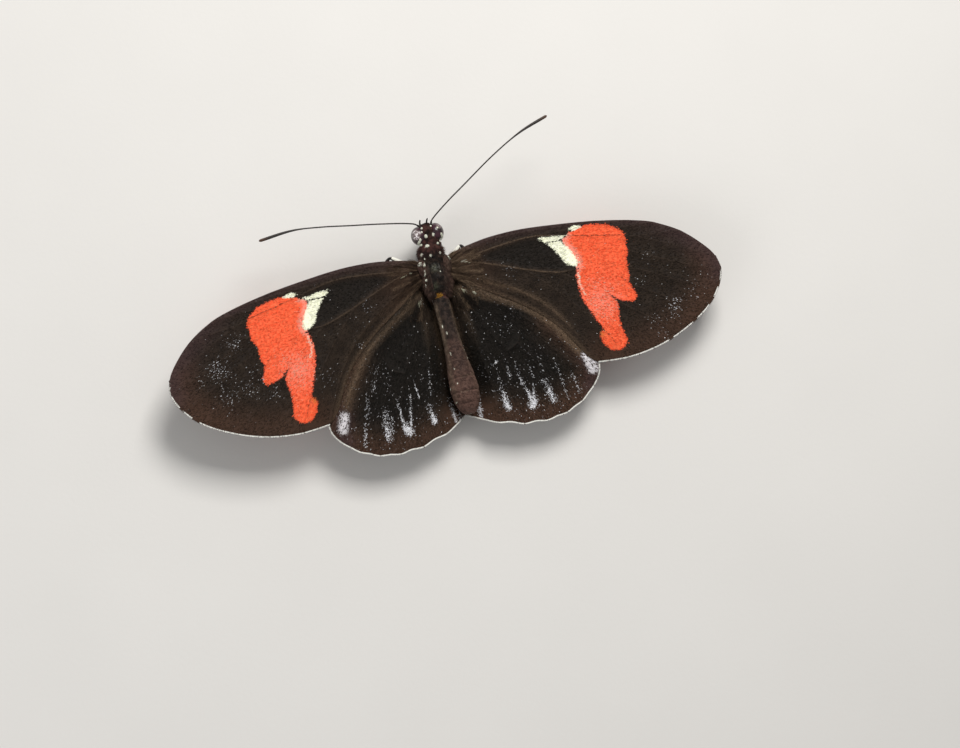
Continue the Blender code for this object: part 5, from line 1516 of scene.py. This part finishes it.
def build_eyes(finish):
    """Round eyes with a painted reflection: a pale patch on the side that the light meets."""
    for label, side in SIDES:
        polar = math.pi * (np.arange(1, EYE_RINGS) / EYE_RINGS)
        angle = 2.0 * math.pi * np.arange(EYE_SEGMENTS) / EYE_SEGMENTS
        x = -np.cos(polar)[:, None] + 0.0 * angle
        y = np.sin(polar)[:, None] * np.cos(angle)
        z = np.sin(polar)[:, None] * np.sin(angle)
        ball = np.vstack(([[-1.0, 0.0, 0.0]], np.stack((x, y, z), -1).reshape(-1, 3), [[1.0, 0.0, 0.0]]))
        centre = mirrored(EYE_CENTRE, side)
        points = turn_head((ball * EYE_RADII) @ turn_about_z(side * EYE_TILT).T + centre)
        faces, order = band_faces(EYE_RINGS - 1, EYE_SEGMENTS)
        faces = [tuple(1 + k for k in f) for f in faces]
        order = order + 1
        last = len(points) - 1
        for k in range(EYE_SEGMENTS):
            n = (k + 1) % EYE_SEGMENTS
            faces.append((0, order[0][n], order[0][k]))
            faces.append((order[-1][k], order[-1][n], last))
        # The pale patch painted on each eye where the light reflects in it.
        facing, wide, narrow, strength = EYE_PAINTED_REFLECTION[side]
        toward = unit((points - turn_head(centre)) / EYE_RADII) @ unit(facing)
        painted_reflection = {"painted_reflection": strength * smooth(toward, wide, narrow)}
        add_piece("eyeball_" + label, points, faces, finish, ("eye_" + label,), painted_reflection)


PALP_ROOT = np.array((0.42, -5.05, 4.20))
PALP_TIP = np.array((0.50, -6.62, 5.62))
PALP_SCALES = 1500


def build_palps(finish, hair):
    """The two upturned palps in front of the face, and their scales."""
    for label, side in SIDES:
        root, tip = mirrored(PALP_ROOT, side), mirrored(PALP_TIP, side)
        bow = (root + tip) * 0.5 + (0.0, -0.42, -0.38)
        path = even_line(spline((root, bow, tip), 0.05), 0.04)
        share = np.linspace(0.0, 1.0, len(path))
        radius = 0.15 - 0.11 * share
        radius *= 1.0 - 0.16 * bell(share - 0.3, 0.025) - 0.2 * bell(share - 0.78, 0.02)
        radius *= np.sqrt(np.clip((1.0 - share) * 12.0, 0.05, 1.0))
        points, faces, angle = tube(path, radius, TUBE_SIDES, (1.0, 0.0, 0.0))
        points = turn_head(points)
        pale = 0.8 * smooth(np.abs(np.sin(angle)), 0.75, 0.95)
        pale = pale * np.repeat(smooth(share, 0.75, 0.6), TUBE_SIDES)
        fields = {"brown": np.zeros(len(points)), "pale": pale}
        add_piece("feeler_palp_" + label, points, faces, finish, ("palp_" + label,), fields)
        number = PALP_SCALES
        spot = RANDOM.random(number) ** 0.9 * 0.94
        turn = RANDOM.random(number) * 2.0 * math.pi
        place = along_line(path, share, spot)
        ahead = unit(along_line(np.gradient(path, axis=0), share, spot))
        across = np.tile((1.0, 0.0, 0.0), (number, 1))
        up = unit(np.cross(across, ahead))
        out = across * np.sin(turn)[:, None] + up * np.cos(turn)[:, None]
        thick = np.interp(spot, share, radius)[:, None]
        length = RANDOM.uniform(0.14, 0.24, number) * (1.1 - 0.6 * spot)
        lift = RANDOM.uniform(0.1, 0.4, number)
        made = blades(turn_head(place + out * thick), ahead, out, length, 0.035, lift, 0.1, 0.3)
        marks = no_marks(number)
        marks["pale"] = 0.75 * smooth(np.abs(np.sin(turn)), 0.7, 0.95) * smooth(spot, 0.8, 0.6)
        marks["tone"] = RANDOM.random(number)
        uv = np.stack((0.01 + 0.98 * turn / (2.0 * math.pi), 0.01 + 0.98 * spot), -1)
        coat_piece("coat_palp_" + label, made, uv, marks, hair)


COIL_CENTRE = np.array((0.0, -4.62, 2.96))
COIL_OUTER = 1.22
COIL_PITCH = 0.31
COIL_TURNS = 3.3
COIL_START = math.radians(128.0)
COIL_POINTS = 400


def build_proboscis(finish):
    """The tongue, wound like a watch spring under the head."""
    turns = np.linspace(0.0, COIL_TURNS, COIL_POINTS)
    angle = COIL_START + 2.0 * math.pi * turns
    reach = COIL_OUTER - COIL_PITCH * turns
    coil = COIL_CENTRE + np.stack((np.zeros(COIL_POINTS), np.cos(angle) * reach, np.sin(angle) * reach), -1)
    root = spline(((0.0, -4.95, 4.6), (0.0, -5.3, 4.2), coil[0]), 0.05)[:-1]
    path = even_line(np.vstack((root, coil)), 0.03)
    share = np.linspace(0.0, 1.0, len(path))
    radius = 0.15 - 0.07 * share
    radius = radius * (1.0 + 0.04 * np.sin(share * math.pi * 380.0))
    radius[-1] *= 0.4
    points, faces, angle = tube(path, np.stack((radius * 1.15, radius), -1), TUBE_SIDES, (1.0, 0.0, 0.0))
    groove = 1.0 - 0.18 * bell(np.abs(np.sin(angle)), 0.2)
    centre = np.repeat(path, TUBE_SIDES, axis=0)
    points = turn_head(centre + (points - centre) * groove[:, None])
    fields = {"brown": np.repeat(0.25 + 0.3 * share, TUBE_SIDES), "pale": np.zeros(len(points))}
    add_piece("tongue", points, faces, finish, ("proboscis",), fields)


MIDLEGS = {
    LEFT: ((1.15, 0.10, 3.95), (5.15, -2.62, 4.95), (7.75, -0.75, 0.62), (9.55, 1.55, 0.20)),
    RIGHT: ((1.15, 0.10, 3.95), (4.15, -2.42, 4.95), (6.65, -0.95, 0.62), (8.60, 1.25, 0.20)),
}
HINDLEGS = {
    LEFT: ((1.10, 2.30, 3.90), (4.35, 5.60, 3.72), (5.95, 9.70, 0.62), (6.90, 12.90, 0.20)),
    RIGHT: ((1.10, 2.30, 3.90), (4.35, 5.20, 3.72), (6.15, 9.20, 0.62), (7.35, 12.30, 0.20)),
}
FORELEG = (
    (0.72, -2.10, 4.40), (1.00, -2.75, 3.62), (1.14, -2.80, 3.02), (1.08, -2.05, 2.74), (0.86, -0.80, 2.95),
)
LEG_SPINES = 220
FORELEG_HAIRS = 420


def leg_spines(path, radius, start, number, finish, name):
    """Short stiff spines down the shin and foot."""
    share = np.sort(RANDOM.uniform(start, 0.985, number))
    places = np.linspace(0.0, 1.0, len(path))
    spot = along_line(path, places, share)
    ahead = unit(along_line(unit(np.gradient(path, axis=0)), places, share))
    across = unit(np.cross(ahead, (0.0, 0.0, 1.0)))
    up = np.cross(across, ahead)
    turn = RANDOM.uniform(-2.2, 2.2, number)
    out = across * np.sin(turn)[:, None] + up * np.cos(turn)[:, None]
    roots = spot + out * np.interp(share, places, radius)[:, None] * 0.9
    made = blades(roots, ahead, out, RANDOM.uniform(0.14, 0.26, number), 0.035, 0.55, 0.0, 0.5)
    fields = no_marks(number)
    fields["tone"] = RANDOM.random(number)
    uv = np.stack((0.02 + 0.96 * (turn + 2.2) / 4.4, 0.01 + 0.98 * share), -1)
    coat_piece(name, made, uv, fields, finish)


def leg_path(hip, knee, ankle, toe):
    """A leg's middle line from inside the body to the toe, and where its joints lie along it."""
    hip = hip + unit(hip - knee) * 0.6 + (0.0, 0.0, 0.35)
    heel = ankle + (toe - ankle) * 0.22
    heel[2] = 0.19
    toe[2] = 0.16
    through = [hip]
    through += [hip + (knee - hip) * t for t in (0.25, 0.5, 0.75, 0.95)]
    through += [knee + (ankle - knee) * t for t in (0.03, 0.3, 0.6, 0.94)]
    through += [heel + (toe - heel) * t for t in (0.02, 0.35, 0.7, 1.0)]
    lengths = np.cumsum([np.linalg.norm(b - a) for a, b in ((hip, knee), (knee, heel), (heel, toe))])
    path = even_line(spline(through, 0.1), 0.06)
    return path, heel, lengths[0] / lengths[2], lengths[1] / lengths[2]


def leg_radius(share, at_knee, at_heel):
    """A leg's thickness along its length: thigh, shin and the foot's five joints."""
    thigh = 0.29 + 0.06 * bell(share - at_knee * 0.35, at_knee * 0.35)
    thigh = thigh - 0.06 * smooth(share, at_knee * 0.7, at_knee)
    shin = 0.20 + 0.03 * bell(share - (at_knee + at_heel) * 0.5, 0.1)
    foot_share = np.clip((share - at_heel) / (1.0 - at_heel), 0.0, 1.0)
    foot = 0.155 - 0.03 * foot_share + 0.03 * np.abs(np.sin(math.pi * foot_share * 5.0)) ** 0.6
    radius = np.where(share < at_knee, thigh, np.where(share < at_heel, shin, foot))
    radius = np.convolve(np.pad(radius, 2, mode="edge"), np.ones(5) / 5.0, "valid")
    radius *= 1.0 - 0.2 * bell(share - at_knee, 0.012) - 0.2 * bell(share - at_heel, 0.01)
    return radius * (1.0 - 0.25 * bell(share - 0.06, 0.012))


def build_claws(heel, toe, name, finish):
    """Two small hooked claws at the end of a foot."""
    ahead = unit((toe - heel) * (1.0, 1.0, 0.0))
    sideways = np.array((-ahead[1], ahead[0], 0.0))
    for k, lean in ((0, -1.0), (1, 1.0)):
        start = toe - ahead * 0.05 + (0.0, 0.0, 0.02)
        middle = toe + ahead * 0.14 + sideways * lean * 0.08 + (0.0, 0.0, 0.06)
        end = toe + ahead * 0.26 + sideways * lean * 0.13 - (0.0, 0.0, 0.10)
        claw = spline((start, middle, end), 0.02)
        points, faces, _ = tube(claw, np.linspace(0.05, 0.012, len(claw)), 8)
        points[:, 2] = np.maximum(points[:, 2], 0.0)
        fields = {"brown": np.full(len(points), 0.5), "pale": np.zeros(len(points))}
        add_piece(f"claw_{k}_{name}", points, faces, finish, (), fields)


def build_leg(kind, label, side, joints, finish, hair):
    """A walking leg with its white stripes, spines and claws."""
    hip, knee, ankle, toe = mirrored(joints, side)
    path, heel, at_knee, at_heel = leg_path(hip, knee, ankle, toe)
    share = np.linspace(0.0, 1.0, len(path))
    radius = leg_radius(share, at_knee, at_heel)
    points, faces, angle = tube(path, radius, TUBE_SIDES)
    points[:, 2] = np.maximum(points[:, 2], 0.0)
    along = np.repeat(share, TUBE_SIDES)
    turned = angle - side * 0.7 if kind == "midleg" else angle + math.pi
    pale = smooth(np.cos(turned), 0.0, 0.55) * smooth(along, at_knee * 0.2, at_knee * 0.35)
    pale = pale * smooth(along, at_knee * 0.99, at_knee * 0.95)
    below = 0.9 * smooth(-np.cos(angle), 0.4, 0.8) * smooth(along, at_knee, at_knee + 0.04)
    fields = {"brown": np.zeros(len(points)), "pale": np.maximum(pale, below)}
    name = kind + "_" + label
    add_piece("limb_" + name, points, faces, finish, (name,), fields)
    leg_spines(path, radius, at_knee * 1.05, LEG_SPINES, hair, "spines_" + name)
    build_claws(heel, toe, name, finish)


def build_foreleg(label, side, finish, hair):
    """The small folded leg that a brush-footed butterfly holds against its chest."""
    path = even_line(spline(mirrored(FORELEG, side), 0.05), 0.05)
    share = np.linspace(0.0, 1.0, len(path))
    radius = 0.2 - 0.08 * share
    radius *= 1.0 - 0.2 * bell(share - 0.42, 0.02) - 0.2 * bell(share - 0.68, 0.02)
    points, faces, angle = tube(path, radius, TUBE_SIDES, (1.0, 0.0, 0.0))
    fields = {"brown": np.zeros(len(points)), "pale": 0.8 * smooth(-np.cos(angle), 0.3, 0.8)}
    add_piece("limb_foreleg_" + label, points, faces, finish, ("foreleg_" + label,), fields)
    leg_spines(path, radius, 0.05, FORELEG_HAIRS, hair, "hair_foreleg_" + label)


def build_legs(finish, hair):
    """Two walking legs and the folded foreleg on each side."""
    for label, side in SIDES:
        build_leg("midleg", label, side, MIDLEGS[side], finish, hair)
        build_leg("hindleg", label, side, HINDLEGS[side], finish, hair)
        build_foreleg(label, side, finish, hair)


TEGULA_SCALES = 1100
TEGULA_RINGS = 14
TEGULA_COLUMNS = 40
TEGULA_SLOPE = 0.28


def tegula_place(share, angle, centre, side):
    """The place on the shield at a share of the way out from its middle."""
    x = centre[0] + side * TEGULA_RADII[0] * share * np.cos(angle)
    y = centre[1] + TEGULA_RADII[1] * share * np.sin(angle)
    dome = TEGULA_RADII[2] * np.sqrt(np.maximum(0.0, 1.0 - share**2))
    return np.stack((x, y, centre[2] + dome - TEGULA_SLOPE * (side * x - TEGULA_CENTRE[0])), -1)


def build_tegulae(finish, hair):
    """The small domed shield over each forewing's root, and its scales."""
    share = np.linspace(0.02, 1.0, TEGULA_RINGS)[:, None]
    angle = 2.0 * math.pi * np.arange(TEGULA_COLUMNS)[None] / TEGULA_COLUMNS
    for label, side in SIDES:
        centre = mirrored(TEGULA_CENTRE, side)
        top = tegula_place(share, angle, centre, side).reshape(-1, 3)
        faces, order = band_faces(TEGULA_RINGS, TEGULA_COLUMNS)
        faces += [tuple(order[0][::-1]), tuple(order[-1])]
        if side == LEFT:
            faces = [f[::-1] for f in faces]
        marks = body_marks(top)
        marks["tone"] = RANDOM.random(len(top))
        marks["shine"] = np.zeros(len(top))
        add_piece("tegula_" + label, top, faces, finish, (), marks)
        number = TEGULA_SCALES
        turn = RANDOM.random(number) * 2.0 * math.pi
        reach = np.sqrt(RANDOM.random(number)) * 0.97
        roots = tegula_place(reach, turn, centre, side)
        out = unit((roots - centre) / TEGULA_RADII**2 + (0.0, 0.0, 0.6))
        lie = np.array((side * 0.35, 1.0, 0.0)) + RANDOM.normal(0.0, 0.15, (number, 3))
        length = RANDOM.uniform(0.3, 0.6, number)
        lift = RANDOM.uniform(0.1, 0.4, number)
        made = blades(roots, lie, out, length, 0.05, lift, 0.15, 0.3)
        marks = body_marks(roots)
        marks.pop("shine")
        marks["brown"] = np.full(number, 0.7)
        marks["tone"] = clump_tone(roots, 0.25)
        uv = 0.5 + 0.48 * np.stack((reach * np.cos(turn), reach * np.sin(turn)), -1)
        coat_piece("coat_tegula_" + label, made, uv, marks, hair)


def build_wings(finish, flakes):
    """All four wings: sheets, loose scales, fringes and root hair."""
    forewing = plan_of(
        FOREWING_ROOT, FOREWING_ROOT_BACK, FOREWING_COSTA + FOREWING_TIP, FOREWING_MARGIN, FOREWING_BACK,
        FOREWING_VEINS, (20.0, 7.0),
    )
    hindwing = plan_of(
        HINDWING_ROOT, HINDWING_ROOT_BACK, HINDWING_COSTA, HINDWING_MARGIN, HINDWING_INNER,
        HINDWING_VEINS, (9.0, 13.0),
    )
    forewing["fields"] = forewing_fields
    hindwing["fields"] = hindwing_fields
    for kind, wing in (("forewing", forewing), ("hindwing", hindwing)):
        flat, faces = plan_sheet(wing)
        build_wing(kind, wing, flat, faces, finish)
        build_flakes(kind, wing, flat, faces, flakes)
        build_fringe(kind, wing, flat, flakes)
        build_root_hair(kind, wing, flat, flakes)


def aim_camera():
    """The camera over the butterfly, leaning and turned as the photograph's was."""
    toward = unit((math.tan(CAMERA_SIDE_TILT), math.tan(CAMERA_TAIL_TILT), 1.0))
    up = np.array((-math.sin(CAMERA_TURN), -math.cos(CAMERA_TURN), 0.0))
    right = unit(np.cross(-toward, up))
    up = np.cross(right, -toward)
    place = to_row(CAMERA_TARGET + toward * CAMERA_DISTANCE)
    lens = bpy.data.cameras.new("camera")
    lens.lens = CAMERA_LENS
    lens.sensor_width = SENSOR
    lens.clip_start = 0.01
    lens.clip_end = 10.0
    camera = bpy.data.objects.new("camera", lens)
    bpy.context.scene.collection.objects.link(camera)
    turn = np.column_stack((right, up, toward, place))
    camera.matrix_world = Matrix(np.vstack((turn, (0.0, 0.0, 0.0, 1.0))).tolist())
    bpy.context.scene.camera = camera


# Each lamp: its place, its size across, its power and its colour. All point at LIT_PLACE.
LAMPS = {
    "key": ((-60.0, -150.0, 260.0), 130.0, 0.85, (1.0, 0.97, 0.93)),
    "fill": ((220.0, 120.0, 160.0), 200.0, 0.2, (1.0, 1.0, 1.0)),
}
LIT_PLACE = (0.0, 6.0, 5.0)
FLOOR_HALF = 2500.0


def add_light(name, place, size, power, colour):
    """A soft square lamp."""
    data = bpy.data.lights.new(name, "AREA")
    data.size = size * MM
    data.energy = power
    data.color = colour
    lamp = bpy.data.objects.new(name, data)
    bpy.context.scene.collection.objects.link(lamp)
    start, end = Vector(to_row(place)), Vector(to_row(LIT_PLACE))
    lamp.location = start
    lamp.rotation_mode = "QUATERNION"
    lamp.rotation_quaternion = (end - start).to_track_quat("-Z", "Y")


def build_stage():
    """A plain pale floor, a soft backdrop of light and two lamps."""
    f = Finish("floor")
    place = f.place()
    paint = f.blend(f.noise(place, 0.02, 3.0), (0.70, 0.695, 0.68), (0.74, 0.735, 0.72))
    f.set(Base_Color=paint, Roughness=0.85)
    f.set(Normal=f.bump(f.noise(place, 0.0006, 3.0), 0.00004, 0.4))
    corners = np.array(((-1.0, -1.0, 0.0), (1.0, -1.0, 0.0), (1.0, 1.0, 0.0), (-1.0, 1.0, 0.0))) * FLOOR_HALF
    floor = new_mesh("floor", corners, [(0, 1, 2, 3)], f.material)
    world = bpy.data.worlds.new("studio")
    world.use_nodes = True
    backdrop = world.node_tree.nodes["Background"]
    backdrop.inputs["Color"].default_value = (1.0, 0.985, 0.965, 1.0)
    backdrop.inputs["Strength"].default_value = 0.30
    bpy.context.scene.world = world
    for name, lamp in LAMPS.items():
        add_light(name, *lamp)
    bpy.context.scene.view_settings.view_transform = "Standard"


def main():
    """Makes every piece, in the order that the random draws follow."""
    aim_camera()
    build_stage()
    skin = body_finish("body_cuticle", False)
    hair = body_finish("body_hair", True)
    feeler = limb_finish("feeler_chitin", (0.008, 0.006, 0.006), (0.024, 0.016, 0.013))
    limb = limb_finish("leg_chitin", (0.009, 0.008, 0.009), (0.028, 0.022, 0.022))
    build_wings(wing_finish(), flake_finish())
    grid = build_skin(skin)
    build_body_coat(grid, hair)
    build_spot_tufts(grid, hair)
    build_shoulder_hair(grid, hair)
    build_tegulae(skin, hair)
    build_eyes(eye_finish())
    build_palps(feeler, hair)
    build_antennae(feeler)
    build_proboscis(feeler)
    build_legs(limb, hair)


main()
